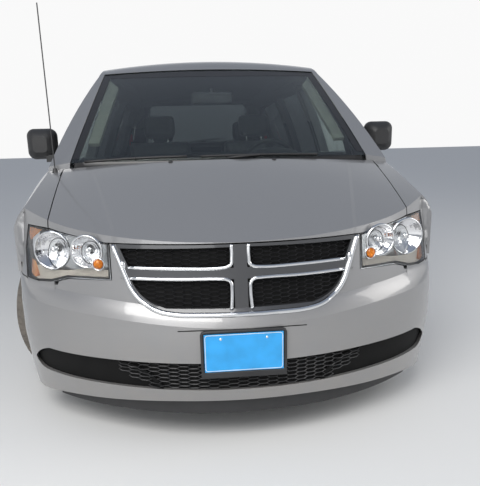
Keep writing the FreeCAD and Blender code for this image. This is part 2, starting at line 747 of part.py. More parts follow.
# Air dam under the lip
dam_zone = block(-780, 780, -100, 480, 132, 260)
dam_wall = prism("plan", plan_outline(62, 3000), 132, 214).cut(prism("plan", plan_outline(72, 3000), 131, 215))
dam_flange = bumper_seat.common(block(-780, 780, -100, 480, 206, 214))
dam_flange = dam_flange.cut(prism("plan", plan_outline(120, 3000), 205, 215))
piece("air_dam", solid_of(dam_wall.common(dam_zone).fuse(dam_flange)))


# Grille: chrome surround, cross bars and the mesh panel behind them
def grille_openings():
    """The four openings of the cross, as front-view outlines."""
    top_low = D.bar_centre + D.bar_height / 2
    low_top = D.bar_centre - D.bar_height / 2
    side = D.bar_half
    upper = [(side, top_low), (430, top_low), (462, 806), (side, 812)]
    lower = [(side, low_top), (424, low_top), bulge((424, low_top), (330, 594), 14), (290, 582), (side, 580)]
    return [upper, lower]


grille_zone = prism("front", spread_outline(grille_outline, -D.edge_gap), -100, 420)
grille_body = face_block(2).common(grille_zone).cut(face_block(2 + D.grille_wall))
for opening in grille_openings():
    grille_body = grille_body.cut(both_sides(prism("front", opening, -100, 420)))
grille_body = grille_body.common(block(-REACH, REACH, -100, 400, 500, 824))
piece("grille", solid_of(grille_body))
mesh_zone = prism("front", spread_outline(grille_outline, -14), -100, 420)
mesh_panel = face_block(2 + D.grille_wall + D.seat_gap).common(mesh_zone)
mesh_panel = mesh_panel.cut(face_block(2 + D.grille_wall + 10))
piece("grille_mesh", solid_of(mesh_panel))

# Headlamps
lamp_prism = prism("front", lamp_outline, -100, 640)
lamp_space = nose_outer.common(face_outer).common(lamp_prism).common(block(0, REACH, -100, 600, 600, 900))
lens_inner = face_block(D.lens_wall).common(nose_block(D.lens_wall, D.lens_wall))
lens_seat = D.lens_wall + D.seat_gap
lens = solid_of(lamp_space.cut(lens_inner).cut(block(0, REACH, 560, 700, 600, 900)))
housing = lamp_space.common(face_block(lens_seat)).common(nose_block(lens_seat, lens_seat))
housing = housing.cut(face_block(D.lamp_depth))
hollow = prism("front", spread_outline(lamp_outline, -6), -100, 640).cut(face_block(D.lamp_depth - 40))
flange_zone = prism("front", spread_outline(lamp_outline, 16), -100, 560).common(block(0, REACH, -100, 560, 600, 700))
flange = bumper_seat.common(flange_zone).cut(face_block(D.bumper_wall + 14))
housing = solid_of(housing.cut(hollow).fuse(flange.cut(hollow)))
piece("headlamp_lenses", Part.makeCompound([lens, mirrored(lens)]))
piece("headlamps", Part.makeCompound([housing, mirrored(housing)]))

# Number plate and its frame, on the bumper's nose
plate = block(-D.plate_width / 2, D.plate_width / 2, -4, -4 + D.plate_wall + 3.6,
              D.plate_centre - D.plate_height / 2, D.plate_centre + D.plate_height / 2)
piece("number_plate", plate)

# Cowl: a tray under the hood's rear edge and a band that closes it to the windscreen's foot
cowl_half = D.hood_half_rear + D.panel_gap - D.seat_gap
cowl_low = D.hood_wall + 24
cowl_zone = prism("plan", [(-cowl_half, D.hood_rear - 60), (0, D.hood_rear - 150, cowl_half, D.hood_rear - 60),
                           (cowl_half, D.firewall_station), (-cowl_half, D.firewall_station)], 900, 1400)
cowl = moved(nose_outer, z=-D.hood_wall - 12).cut(moved(nose_outer, z=-cowl_low)).common(cowl_zone)
band_high = D.glass_inset + D.glass_wall + D.seat_gap
band = cabin_block(band_high, band_high).cut(cabin_block(band_high + 12, band_high + 12))
band = band.common(prism("plan", hood_outline(D.cowl_gap + 45), 900, 1400)).common(cowl_zone)
band = band.cut(moved(nose_outer, z=-cowl_low)).cut(hood_zone.common(moved(nose_outer, z=2)))
cowl = cowl.fuse(band).cut(both_sides(body_side)).cut(both_sides(fender))
piece("cowl_and_wipers", solid_of(cowl))

# Rear bumper
tail_outer = prism("plan", plan_outline(0), D.sill_height, D.bumper_rear_top)
tail_inner = prism("plan", plan_outline(D.bumper_wall), D.sill_height - 1, D.bumper_rear_top - D.bumper_wall)
tail_bumper = tail_outer.cut(tail_inner).common(block(-REACH, REACH, 4490, 5300, 100, 700))
tail_bumper = tail_bumper.cut(both_sides(wheel_cut(REAR_AXLE, D.arch_radius - 10, 400, 1100)))
tail_bumper = tail_bumper.cut(cabin_block(-1, 0))
piece("rear_bumper", solid_of(tail_bumper))

# Floor, firewall and wheel houses
FLOOR_LOW = D.floor_height - D.floor_wall
floor = block(-890, 890, 1330, 4960, FLOOR_LOW, D.floor_height)
wall_rear = D.firewall_station
firewall = block(-760, 760, wall_rear - 40, wall_rear, FLOOR_LOW, 1300)
firewall = firewall.common(moved(nose_outer, z=-cowl_low - D.seat_gap))
rail = block(370, 440, 120, wall_rear, RAIL_LOW, RAIL_TOP)
crash_beam = bumper_seat.common(block(-640, 640, -20, 400, RAIL_LOW, RAIL_TOP))
crash_beam = crash_beam.cut(face_block(D.bumper_wall + 70))
tower = block(540, 700, FRONT_AXLE - 70, wall_rear - 10, D.strut_top, D.strut_top + 20)
floor = floor.fuse([firewall, crash_beam, rail, mirrored(rail), tower, mirrored(tower)])
floor = floor.cut(both_sides(wheel_cut(REAR_AXLE, D.arch_radius + 8, 560, 1000)))
floor = floor.cut(both_sides(wheel_cut(FRONT_AXLE, D.arch_radius + 8, 460, 1000)))
floor = floor.cut(both_sides(wheel_cut(FRONT_AXLE + D.lock_reach, D.arch_radius + 8, 460, 1000)))
piece("floor_pan", floor.common(cabin_inner.fuse(block(-REACH, REACH, 0, wall_rear, 0, 1300))))

# Radiator support, with the hood's latch plate and rubber stops
support = block(-470, 470, 300, 340, RAIL_TOP + D.seat_gap, 760)
stops = [block(x - 15, x + 15, 305, 335, 750, 1000) for x in (-440, 0, 440)]
stops = [stop.common(moved(nose_outer, z=-D.hood_wall - D.seat_gap)) for stop in stops]
piece("radiator", support.fuse(stops))

# Dashboard
dash_front = wall_rear + D.seat_gap
dash_profile = [
    (dash_front, 800), (dash_front, 1060), bulge((dash_front, 1060), (1690, D.dash_height), 12),
    bulge((1690, D.dash_height), (1760, 1040), 14), (1735, 900), (1670, 720), (1560, 640), (1400, 640),
]
dash = prism("side", dash_profile, -REACH, REACH).common(cabin_block(D.side_wall + 14, D.roof_wall + 14))
column_turn = math.radians(D.column_angle)
column_way = V(0, -math.cos(column_turn), -math.sin(column_turn))
wheel_centre = V(D.steering_wheel_side, place_y(D.steering_wheel_station), D.steering_wheel_height)
column = Part.makeCylinder(32, 200, wheel_centre + column_way * (20 + D.seat_gap), column_way)
piece("dashboard", solid_of(dash.fuse(column)))


# Seats
def seat_profile(s, base, back_top):
    return [
        (s, base), (s - 20, base + 150), bulge((s - 20, base + 150), (s + 30, base + 235), 22),
        (s + 420, base + 205), bulge((s + 420, base + 205), (s + 560, back_top), 30),
        bulge((s + 560, back_top), (s + 660, back_top - 16), 22),
        (s + 590, base + 150), (s + 500, base),
    ]


def seat(s, x, width, base, back_top, rest_width):
    """A cushion, back and head restraint on its plinth, facing forward."""
    body = prism("side", seat_profile(s, base, back_top), x - width / 2, x + width / 2)
    head = [(s + 560, back_top + 28), bulge((s + 560, back_top + 28), (s + 580, back_top + 200), 12),
            bulge((s + 580, back_top + 200), (s + 690, back_top + 190), 18), (s + 675, back_top + 24)]
    rest = prism("side", head, x - rest_width / 2, x + rest_width / 2)
    posts = Part.makeCylinder(6, 70, V(x - 60, place_y(s + 620), back_top - 20))
    posts = posts.fuse(Part.makeCylinder(6, 70, V(x + 60, place_y(s + 620), back_top - 20)))
    plinth = block(x - width / 2 + 50, x + width / 2 - 50, s + 40, s + 480, D.floor_height + D.seat_gap, base + 1)
    return body.fuse(rest).fuse(posts).fuse(plinth)


front_seats = [seat(2010, side * D.seat_side, D.seat_width, 470, 1170, 270) for side in (1, -1)]
piece("front_seats", Part.makeCompound(front_seats))
rear = [seat(2900, side * 390, 500, 460, 1130, 250) for side in (1, -1)]
rear.append(seat(3860, 0, 1080, 450, 1090, 240))
piece("rear_seats", Part.makeCompound(rear))

# Engine, subframe, tank and exhaust
engine = doc.addObject("Part::Box", "engine_block")
engine.setExpression("Length", "Dimensions.engine_width")
engine.setExpression("Width", "Dimensions.engine_length")
engine.setExpression("Height", "Dimensions.engine_height")
engine.Placement = FreeCAD.Placement(V(-D.engine_width / 2, place_y(560), 300 + D.seat_gap), FreeCAD.Rotation())
parts["engine_block"] = engine

# Front suspension: a subframe, lower arms, and struts that stand on each leaning kingpin axis
LEAN = math.radians(D.kingpin_lean)
BALL_X = D.front_track / 2 - D.kingpin_inset


def pin_axis(side):
    """The kingpin's direction, pointing up, on one side."""
    return V(-side * math.sin(LEAN), 0, math.cos(LEAN))


def pin_point(side, z):
    """The kingpin's point at a height."""
    return V(side * (BALL_X - (z - D.ball_height) * math.tan(LEAN)), place_y(FRONT_AXLE), z)


def on_pin(side, radius, low, high):
    """A cylinder round the kingpin, between two heights along its axis."""
    length = (high - low) / math.cos(LEAN)
    return Part.makeCylinder(radius, length, pin_point(side, low), pin_axis(side))


ARM_LOW, ARM_TOP = 176.0, 200.0
KNUCKLE_TOP = 500.0
subframe = block(-450, 450, 860, 1180, 240, 300).fuse(both_sides(block(370, 450, 640, 1180, 240, RAIL_LOW - D.seat_gap)))
arm = prism("plan", [(400, FRONT_AXLE - 110), (BALL_X, FRONT_AXLE - 24), (BALL_X, FRONT_AXLE + 24),
                     (400, FRONT_AXLE + 110)], ARM_LOW, ARM_TOP)
arm = arm.fuse(block(400, 450, FRONT_AXLE - 100, FRONT_AXLE + 100, ARM_LOW, 260))
arm = arm.fuse(on_pin(1, D.ball_radius, ARM_LOW + 4, D.ball_height))
strut = on_pin(1, D.strut_radius, KNUCKLE_TOP + D.seat_gap, D.strut_top + 30)
strut = strut.common(block(0, REACH, 800, 1200, 0, D.strut_top - D.seat_gap))
piece("front_subframe", subframe.fuse(both_sides(arm)))
piece("front_struts", Part.makeCompound([strut, mirrored(strut)]))

# Rear axle, on trailing arms under the floor
AXLE_LOW = 250.0
half_track = D.rear_track / 2
beam = Part.makeCylinder(33, 1240, V(-620, place_y(REAR_AXLE - 70), AXLE_LOW), V(1, 0, 0))
arm = block(480, 550, REAR_AXLE - 480, REAR_AXLE - 40, AXLE_LOW - 20, FLOOR_LOW - D.seat_gap)
plate = block(580, 640, REAR_AXLE - 110, REAR_AXLE + 60, AXLE_LOW - 30, 420)
spindle = Part.makeCylinder(D.spindle_radius, half_track + D.spindle_reach - 600,
                            V(600, place_y(REAR_AXLE), WHEEL_HEIGHT), V(1, 0, 0))
rear_disc = Part.makeCylinder(D.disc_diameter / 2, D.disc_wall,
                              V(half_track - 62, place_y(REAR_AXLE), WHEEL_HEIGHT), V(1, 0, 0))
hub_group = arm.fuse([plate, spindle, rear_disc])
piece("rear_axle", beam.fuse(both_sides(hub_group)))
piece("fuel_tank", block(-420, 120, 2500, 3350, 160, FLOOR_LOW - D.seat_gap))
pipe = Part.makeCylinder(D.exhaust_diameter / 2, 3700, V(300, place_y(1250), 180), V(0, 1, 0))
muffler = block(180, 420, 4350, 4850, 150, FLOOR_LOW - D.seat_gap)
piece("exhaust", pipe.fuse(muffler))


# Antenna on the right fender
def top_of(shape, x, s):
    """Height of a shape's upper surface at a place."""
    probe = Part.makeCylinder(1, 2000, V(x, place_y(s), 0))
    return max(corner.Z for corner in shape.common(probe).Vertexes)


MAST_X, MAST_STATION = -846, D.hood_rear - 22
mast_base = top_of(nose_outer, MAST_X, MAST_STATION)
mast = Part.makeCylinder(D.mast_diameter / 2, D.mast_length, V(MAST_X, place_y(MAST_STATION), mast_base + 6),
                         V(-0.03, 0.1, 1))
foot = Part.makeCone(17, 8, 26, V(MAST_X, place_y(MAST_STATION), mast_base - 8))
piece("antenna", mast.fuse(foot).cut(nose_block(-D.seat_gap, -D.seat_gap)))

# Tail lamps
lamp_block = cabin_outer.common(prism("front", tail_lamp_outline, 4890, 5300))
tail_lamp = solid_of(lamp_block.cut(cabin_block(42, 42)))
piece("tail_lamps", Part.makeCompound([tail_lamp, mirrored(tail_lamp)]))


# Mirrors
def mirror_section(s, x0, x1, z0, z1, corner):
    """A rounded rectangle at a station."""
    soft = corner * 0.29
    points = [(x0 + corner, z0), (x1 - corner, z0)]
    points.append((x1 - soft, z0 + soft, x1, z0 + corner))
    points.append((x1, z1 - corner))
    points.append((x1 - soft, z1 - soft, x1 - corner, z1))
    points.append((x0 + corner, z1))
    points.append((x0 + soft, z1 - soft, x0, z1 - corner))
    points.append((x0, z0 + corner))
    points.append((x0 + soft, z0 + soft, x0 + corner, z0))
    return wire("front", points, s)


MIRROR_STATION = 1500
MIRROR_TABLE = [
    # station after the front, low x, high x, low z, high z, corner radius
    (0, 995, 1078, 1142, 1232, 24),
    (34, 962, 1110, 1112, 1266, 38),
    (104, 950, 1123, 1100, 1277, 44),
]
mirror_head = Part.makeLoft([mirror_section(MIRROR_STATION + row[0], *row[1:]) for row in MIRROR_TABLE], True)
mirror_glass = mirror_section(MIRROR_STATION + 96, 962, 1111, 1112, 1265, 36)
mirror_head = mirror_head.cut(Part.Face(mirror_glass).extrude(V(0, 20, 0)))
mirror_arm = block(860, 1010, MIRROR_STATION + 20, MIRROR_STATION + 76, 1084, 1126)
mirror_shape = solid_of(mirror_head.fuse(mirror_arm).cut(cabin_block(-D.seat_gap, 0)))
piece("mirror_left", mirror_shape)
piece("mirror_right", mirrored(mirror_shape))


# Wheels
def part_body(label, place):
    body = doc.addObject("PartDesign::Body", label)
    body.Label = label
    body.Placement = place
    parts[label] = body
    return body


def origin_plane(body, role):
    return [one for one in body.Origin.OriginFeatures if one.Role == role][0]


def sketch_on(body, role, name, points):
    """A closed sketch of lines and arcs on an origin plane of its own body."""
    sketch = body.newObject("Sketcher::SketchObject", name)
    sketch.AttachmentSupport = [(origin_plane(body, role), "")]
    sketch.MapMode = "FlatFace"
    last = points[0]
    for point in points[1:] + [points[0][:2]]:
        end = point[-2:]
        if math.dist(end, last[-2:]) > 1e-6:
            start = V(*last[-2:], 0)
            if len(point) == 4:
                sketch.addGeometry(Part.Arc(start, V(*point[:2], 0), V(*end, 0)), False)
            else:
                sketch.addGeometry(Part.LineSegment(start, V(*end, 0)), False)
        last = point
    return sketch


def spin(body, points, name):
    """The half section in X and Z turned about Z."""
    sketch = sketch_on(body, "XZ_Plane", name + "_section", points)
    turned = body.newObject("PartDesign::Revolution", name)
    turned.Profile = sketch
    turned.ReferenceAxis = (sketch, ["V_Axis"])
    turned.Angle = 360
    return turned


def tyre(label, place):
    """A road tyre with rounded shoulders and a bead seat on the rim."""
    body = part_body(label, place)
    radius, half = D.tyre_diameter / 2, D.tyre_width / 2
    seat = D.rim_diameter / 2 + 3
    bead = D.rim_width / 2 - 8.3
    crown = half - D.tyre_shoulder
    wide = half - 8
    shoulder = radius - D.tyre_shoulder
    over, lap = seat + 9.3, bead + 6
    points = [
        (seat, -bead), (over, -bead), (over, -lap), bulge((over, -lap), (shoulder, -wide), -8),
        bulge((shoulder, -wide), (radius - 6, -crown), -8),
        bulge((radius - 6, -crown), (radius - 6, crown), -6),
        bulge((radius - 6, crown), (shoulder, wide), -8), bulge((shoulder, wide), (over, lap), -8),
        (over, bead), (seat, bead),
    ]
    spin(body, points, label + "_tread")
    return body


def wheel(label, place):
    """A wheel with its barrel, hub face and windows, spinning about its local Z."""
    body = part_body(label, place)
    rim, half = D.rim_diameter / 2, D.rim_width / 2
    wall = 8
    face = half - 26
    hub = D.spindle_radius + D.seat_gap
    points = [
        (hub, face - 46), (hub, face + 6), (70, face + 14), (rim - 34, face - 4), (rim - wall, half - 12),
        (rim, half), (rim + 12, half), (rim + 12, half - 6), (rim + 2.7, half - 8), (rim + 2.7, 8 - half),
        (rim + 12, 6 - half), (rim + 12, -half), (rim - wall, -half), (rim - wall - 2, face - 34), (80, face - 18),
    ]
    spin(body, points, label + "_barrel")
    doc.recompute()
    inner, outer = 92, rim - 30
    window = [(inner, -14), (outer, -34), bulge((outer, -34), (outer, 34), -6), (inner, 14)]
    sketch = sketch_on(body, "XY_Plane", label + "_window_sketch", window)
    pocket = body.newObject("PartDesign::Pocket", label + "_window")
    pocket.Profile = sketch
    pocket.Type = "ThroughAll"
    pocket.Midplane = True
    pattern = body.newObject("PartDesign::PolarPattern", label + "_windows")
    pattern.Originals = [pocket]
    pattern.Axis = (sketch, ["N_Axis"])
    pattern.Angle = 360
    pattern.Occurrences = int(D.wheel_windows)
    body.Tip = pattern
    return body


def wheel_place(x, s, z):
    """A wheel's place, its local Z pointing outward along its own axle."""
    return FreeCAD.Placement(V(x, place_y(s), z), FreeCAD.Rotation(V(0, 1, 0), 90 if x > 0 else -90))


def steered(side):
    """The turn of a front wheel about its leaning kingpin."""
    return FreeCAD.Placement(V(0, 0, 0), FreeCAD.Rotation(pin_axis(side), -D.steer_rest), pin_point(side, D.ball_height))


CORNERS = [
    # name, x, station
    ("front_left", D.front_track / 2, FRONT_AXLE),
    ("front_right", -D.front_track / 2, FRONT_AXLE),
    ("rear_left", D.rear_track / 2, REAR_AXLE),
    ("rear_right", -D.rear_track / 2, REAR_AXLE),
]
for name, x, s in CORNERS:
    if s == FRONT_AXLE:
        place = steered(math.copysign(1, x)).multiply(wheel_place(x, s, HUB_HEIGHT))
    else:
        place = wheel_place(x, s, WHEEL_HEIGHT)
    tyre("tyre_" + name, place)
    wheel("wheel_" + name, place)

# Knuckles, each with its spindle, brake disc and kingpin boss
for name, x, s in CORNERS[:2]:
    side = math.copysign(1, x)
    boss = on_pin(side, 30, D.ball_height + D.seat_gap, KNUCKLE_TOP)
    start = pin_point(side, HUB_HEIGHT)
    spindle = Part.makeCylinder(D.spindle_radius, side * (x - start.x) + D.spindle_reach, start, V(side, 0, 0))
    disc = Part.makeCylinder(D.disc_diameter / 2, D.disc_wall, V(x - side * 70, place_y(s), HUB_HEIGHT),
                             V(side, 0, 0))
    carrier = Part.makeCylinder(60, 50, V(x - side * 112, place_y(s), HUB_HEIGHT), V(side, 0, 0))
    knuckle = boss.fuse([spindle, disc, carrier])
    piece("knuckle_" + name.split("_")[1], knuckle.transformed(steered(side).toMatrix()))

# Steering wheel on its column
ring = Part.makeTorus(D.steering_wheel_diameter / 2 - D.steering_wheel_rim / 2, D.steering_wheel_rim / 2)
hub = Part.makeCylinder(70, 34, V(0, 0, -20))
spokes = Part.makeBox(D.steering_wheel_diameter - 30, 46, 14, V(15 - D.steering_wheel_diameter / 2, -23, -10))
lower = Part.makeBox(40, D.steering_wheel_diameter / 2 - 15, 14, V(-20, 15 - D.steering_wheel_diameter / 2, -10))
steering_wheel = ring.fuse(hub).fuse(spokes).fuse(lower)
lean = FreeCAD.Rotation(V(1, 0, 0), -90 + D.column_angle)
piece("steering_wheel", steering_wheel.transformed(FreeCAD.Placement(wheel_centre, lean).toMatrix()))

doc.recompute()
bad = [thing.Label for thing in doc.Objects if "Invalid" in thing.State or "Error" in thing.State]
for label, thing in parts.items():
    if thing.Shape.isNull() or not thing.Shape.isValid():
        bad.append(label)
if bad:
    raise RuntimeError("These failed: " + ", ".join(sorted(set(bad))))

os.makedirs("parts", exist_ok=True)
for label, thing in parts.items():
    thing.Shape.exportStep("parts/%s.step" % label)
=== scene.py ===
import json
import math

import bmesh
import bpy
from mathutils import Matrix, Vector
from mathutils.bvhtree import BVHTree


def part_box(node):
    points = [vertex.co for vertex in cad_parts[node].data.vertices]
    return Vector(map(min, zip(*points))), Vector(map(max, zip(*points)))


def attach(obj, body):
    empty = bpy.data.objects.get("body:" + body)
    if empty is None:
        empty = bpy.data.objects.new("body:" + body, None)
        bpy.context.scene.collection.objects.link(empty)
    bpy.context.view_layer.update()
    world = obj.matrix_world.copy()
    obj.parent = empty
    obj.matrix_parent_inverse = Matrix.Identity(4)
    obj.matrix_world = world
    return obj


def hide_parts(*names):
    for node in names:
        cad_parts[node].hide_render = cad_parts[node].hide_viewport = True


# Minivan: finishes, lights and the pieces that the CAD model leaves to the scene.
# Metres, with the front toward -Y.

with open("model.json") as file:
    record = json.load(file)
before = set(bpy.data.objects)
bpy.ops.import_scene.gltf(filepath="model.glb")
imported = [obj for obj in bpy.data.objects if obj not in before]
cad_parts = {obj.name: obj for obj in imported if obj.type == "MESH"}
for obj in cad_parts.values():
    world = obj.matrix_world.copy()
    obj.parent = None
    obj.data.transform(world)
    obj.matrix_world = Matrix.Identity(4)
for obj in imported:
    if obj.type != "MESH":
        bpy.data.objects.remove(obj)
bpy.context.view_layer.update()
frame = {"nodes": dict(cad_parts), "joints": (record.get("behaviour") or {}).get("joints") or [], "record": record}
scene = bpy.context.scene
nodes = frame["nodes"]

# The front tip's Y. Stations are measured back from it, in millimetres.
TIP = -2.5755

# The ways along which pieces are laid on: from the front, from the left and from above
AHEAD, INWARD_LEFT, DOWN = Vector((0, 1, 0)), Vector((-1, 0, 0)), Vector((0, 0, -1))


# Shader nodes

def feed(tree, socket, value):
    """Gives a socket a plain value, or a link from another node's output."""
    if isinstance(value, bpy.types.NodeSocket):
        tree.links.new(value, socket)
    else:
        socket.default_value = value


def wire(tree, node, **values):
    """Feeds a node's inputs by name, with _ for a space."""
    for key, value in values.items():
        feed(tree, node.inputs[key.replace("_", " ")], value)
    return node


def add_node(tree, kind, settings=(), **values):
    """A node with some settings, and its inputs by name."""
    node = tree.nodes.new(kind)
    for key, value in dict(settings).items():
        setattr(node, key, value)
    return wire(tree, node, **values)


def math_node(tree, operation, *values, clamp=False):
    """A math node fed by sockets or numbers."""
    node = add_node(tree, "ShaderNodeMath", {"operation": operation, "use_clamp": clamp})
    for socket, value in zip(node.inputs, values):
        feed(tree, socket, value)
    return node.outputs[0]


def times(tree, first, second, clamp=False):
    """The product of two values."""
    return math_node(tree, "MULTIPLY", first, second, clamp=clamp)


def plus(tree, first, second, clamp=False):
    """The sum of two values."""
    return math_node(tree, "ADD", first, second, clamp=clamp)


def minus(tree, first, second, clamp=False):
    """The first value less the second."""
    return math_node(tree, "SUBTRACT", first, second, clamp=clamp)


def texture(tree, kind, settings=(), **values):
    """A procedural texture on the piece's own coordinates."""
    place = add_node(tree, "ShaderNodeTexCoord")
    return add_node(tree, "ShaderNodeTex" + kind, settings, Vector=place.outputs["Object"], **values).outputs


def coordinates(tree, output="Object"):
    """The piece's own coordinates, or its facing, split in three."""
    place = add_node(tree, "ShaderNodeTexCoord")
    return add_node(tree, "ShaderNodeSeparateXYZ", Vector=place.outputs[output]).outputs


def mixed(tree, share, first, second):
    """Two colours mixed by a share."""
    mix = add_node(tree, "ShaderNodeMix", {"data_type": "RGBA"})
    return wire(tree, mix, Factor=share, A=first, B=second).outputs["Result"]


def tinted(tree, color, value):
    """A colour made lighter or darker by a factor."""
    return add_node(tree, "ShaderNodeHueSaturation", Color=color, Value=value).outputs["Color"]


def bump_into(tree, shader, height, strength, distance):
    """A height as a bump in a shader's normal."""
    bump = add_node(tree, "ShaderNodeBump", Height=height, Strength=strength, Distance=distance)
    wire(tree, shader, Normal=bump.outputs["Normal"])


# Shared effects as node groups

def new_group(name, **inputs):
    """A shader node group with inputs of these names and values, and its side of them."""
    group = bpy.data.node_groups.new(name, "ShaderNodeTree")
    for label, value in inputs.items():
        kind = "NodeSocketFloat" if isinstance(value, float) else "NodeSocketColor"
        group.interface.new_socket(label, in_out="INPUT", socket_type=kind).default_value = value
    return group, group.nodes.new("NodeGroupInput").outputs


def finish_group(group, **outputs):
    """Gives the group its outputs and links the results to them."""
    for label, source in outputs.items():
        kind = "NodeSocketColor" if source.type == "RGBA" else "NodeSocketFloat"
        group.interface.new_socket(label, in_out="OUTPUT", socket_type=kind)
    wire(group, group.nodes.new("NodeGroupOutput"), **outputs)
    return group


def use_group(tree, group, **values):
    """A group in a material, with its own values or links."""
    node = add_node(tree, "ShaderNodeGroup", {"node_tree": group})
    return wire(tree, node, **values).outputs


def dust_group():
    """Road dust that gathers low down, in patches: it changes a colour and a roughness."""
    group, entry = new_group("road_dust", Color=(0.5, 0.5, 0.5, 1), Roughness=0.3, Dust=0.3, Top=0.7,
                             Scale=9.0)
    cloud = texture(group, "Noise", Scale=entry["Scale"], Detail=6.0, Roughness=0.62)["Fac"]
    low = math_node(group, "DIVIDE", coordinates(group)["Z"], entry["Top"])
    low = minus(group, 1.0, low, clamp=True)
    low = times(group, low, times(group, cloud, 1.5))
    low = plus(group, low, times(group, cloud, 0.16))
    share = times(group, low, entry["Dust"], clamp=True)
    color = mixed(group, share, entry["Color"], (0.42, 0.37, 0.31, 1))
    rough = plus(group, entry["Roughness"], times(group, share, 0.5), clamp=True)
    return finish_group(group, Color=color, Roughness=rough)


def grain_group():
    """Fine cell grain as a height, with a slow change of shade."""
    group, entry = new_group("fine_grain", Color=(0.1, 0.1, 0.1, 1), Scale=700.0, Mottle=0.15)
    cells = texture(group, "Voronoi", {"feature": "SMOOTH_F1"}, Scale=entry["Scale"])
    cloud = texture(group, "Noise", Scale=14.0, Detail=4.0)["Fac"]
    shade = times(group, minus(group, cloud, 0.5), entry["Mottle"])
    color = tinted(group, entry["Color"], plus(group, 1.0, times(group, shade, 4.0)))
    return finish_group(group, Color=color, Height=cells["Distance"])


def weave_group():
    """A woven cloth's threads as a shade and a height."""
    group, entry = new_group("cloth_weave", Color=(0.2, 0.2, 0.2, 1), Scale=420.0)
    threads = [texture(group, "Wave", {"bands_direction": axis}, Scale=entry["Scale"], Distortion=0.6,
                       Detail=1.0)["Fac"] for axis in ("X", "Y", "Z")]
    total = plus(group, plus(group, threads[0], threads[1]), threads[2])
    cloud = texture(group, "Noise", Scale=60.0, Detail=3.0)["Fac"]
    value = plus(group, times(group, total, 0.16), times(group, cloud, 0.6))
    color = tinted(group, entry["Color"], plus(group, value, 0.45))
    return finish_group(group, Color=color, Height=total)


def inner_side_group():
    """One where a body panel faces into the cabin, and the lining's colour: pale overhead, dark below."""
    group, entry = new_group("inner_side", Dark=(0.05, 0.05, 0.052, 1), Pale=(0.33, 0.33, 0.31, 1))
    cabin_front, lining_change = TIP + 1.1, 1.3
    point, facing = coordinates(group), coordinates(group, "Normal")
    side = math_node(group, "LESS_THAN", times(group, point["X"], facing["X"]), -0.12)
    behind = math_node(group, "GREATER_THAN", point["Y"], cabin_front)
    high = math_node(group, "GREATER_THAN", point["Z"], lining_change)
    under = times(group, math_node(group, "LESS_THAN", facing["Z"], -0.35), high)
    inner = times(group, math_node(group, "MAXIMUM", side, under), behind)
    return finish_group(group, Inner=inner, Color=mixed(group, high, entry["Dark"], entry["Pale"]))


ROAD_DUST = dust_group()
INNER_SIDE = inner_side_group()
FINE_GRAIN = grain_group()
CLOTH_WEAVE = weave_group()


# Finishes

def new_material(name, color, roughness, metallic=0.0, **sockets):
    """A material whose Principled shader has plain values on its own sockets."""
    material = bpy.data.materials.new(name)
    material.use_nodes = True
    tree = material.node_tree
    shader = tree.nodes["Principled BSDF"]
    wire(tree, shader, Base_Color=(*color, 1), Roughness=roughness, Metallic=metallic, **sockets)
    material.diffuse_color = (*color, 1)
    return material, tree, shader


def crease_height(tree):
    """The height of the hood's two pressed lines, which spread toward the windscreen."""
    place = coordinates(tree)
    line = add_node(tree, "ShaderNodeMapRange", {"clamp": False}, Value=place["Y"], From_Min=TIP + 0.09,
                    From_Max=TIP + 0.9, To_Min=0.455, To_Max=0.653)
    across = minus(tree, math_node(tree, "ABSOLUTE", place["X"]), line.outputs["Result"])
    step = add_node(tree, "ShaderNodeMapRange", {"interpolation_type": "SMOOTHSTEP"}, Value=across,
                    From_Min=-0.012, From_Max=0.012, To_Min=1.0, To_Max=0.0)
    return step.outputs["Result"]


def paint_material(name, color, dust=0.3, crease=False):
    """Metallic paint under clear coat, with fine flake and a film of dust, and a lining on inner faces."""
    rough, metal = 0.34, 0.55
    material, tree, shader = new_material(name, color, rough, metal, Coat_Weight=1.0, Coat_Roughness=0.06)
    flake = texture(tree, "Voronoi", Scale=2600.0)["Color"]
    spread = times(tree, minus(tree, flake, 0.5), 0.22)
    tint = tinted(tree, (*color, 1), plus(tree, spread, 1.0))
    film = use_group(tree, ROAD_DUST, Color=tint, Dust=dust, Roughness=rough, Top=0.75)
    lining = use_group(tree, INNER_SIDE)
    inner = lining["Inner"]
    outer = minus(tree, 1.0, inner)
    wire(tree, shader, Base_Color=mixed(tree, inner, film["Color"], lining["Color"]),
         Metallic=times(tree, outer, metal), Coat_Weight=outer,
         Roughness=plus(tree, film["Roughness"], times(tree, inner, 0.4)))
    if crease:
        bump_into(tree, shader, crease_height(tree), 1.0, 0.0045)
    return material


def grained_material(name, color, roughness, scale=700.0, strength=0.3, **sockets):
    """Moulded plastic: a fine leather-like grain and a slight mottle."""
    material, tree, shader = new_material(name, color, roughness, **sockets)
    grain = use_group(tree, FINE_GRAIN, Color=(*color, 1), Scale=scale, Mottle=0.15)
    wire(tree, shader, Base_Color=grain["Color"])
    bump_into(tree, shader, grain["Height"], strength, 0.0006)
    return material


def metal_material(name, color, roughness, spread=0.1, coat=0.0):
    """Bare or bright metal whose polish changes a little over the surface."""
    material, tree, shader = new_material(name, color, roughness, 1.0, Coat_Weight=coat)
    cloud = texture(tree, "Noise", Scale=22.0, Detail=5.0)["Fac"]
    level = times(tree, minus(tree, cloud, 0.5), spread)
    wire(tree, shader, Roughness=plus(tree, level, roughness, clamp=True))
    return material


def glass_material(name, color, roughness=0.02, share=0.85):
    """Clear or tinted glass with a faint film of dust in its roughness."""
    material, tree, shader = new_material(name, color, roughness, Transmission_Weight=share, IOR=1.45)
    cloud = texture(tree, "Noise", Scale=5.0, Detail=6.0)["Fac"]
    wire(tree, shader, Roughness=plus(tree, times(tree, cloud, 0.03), roughness))
    return material


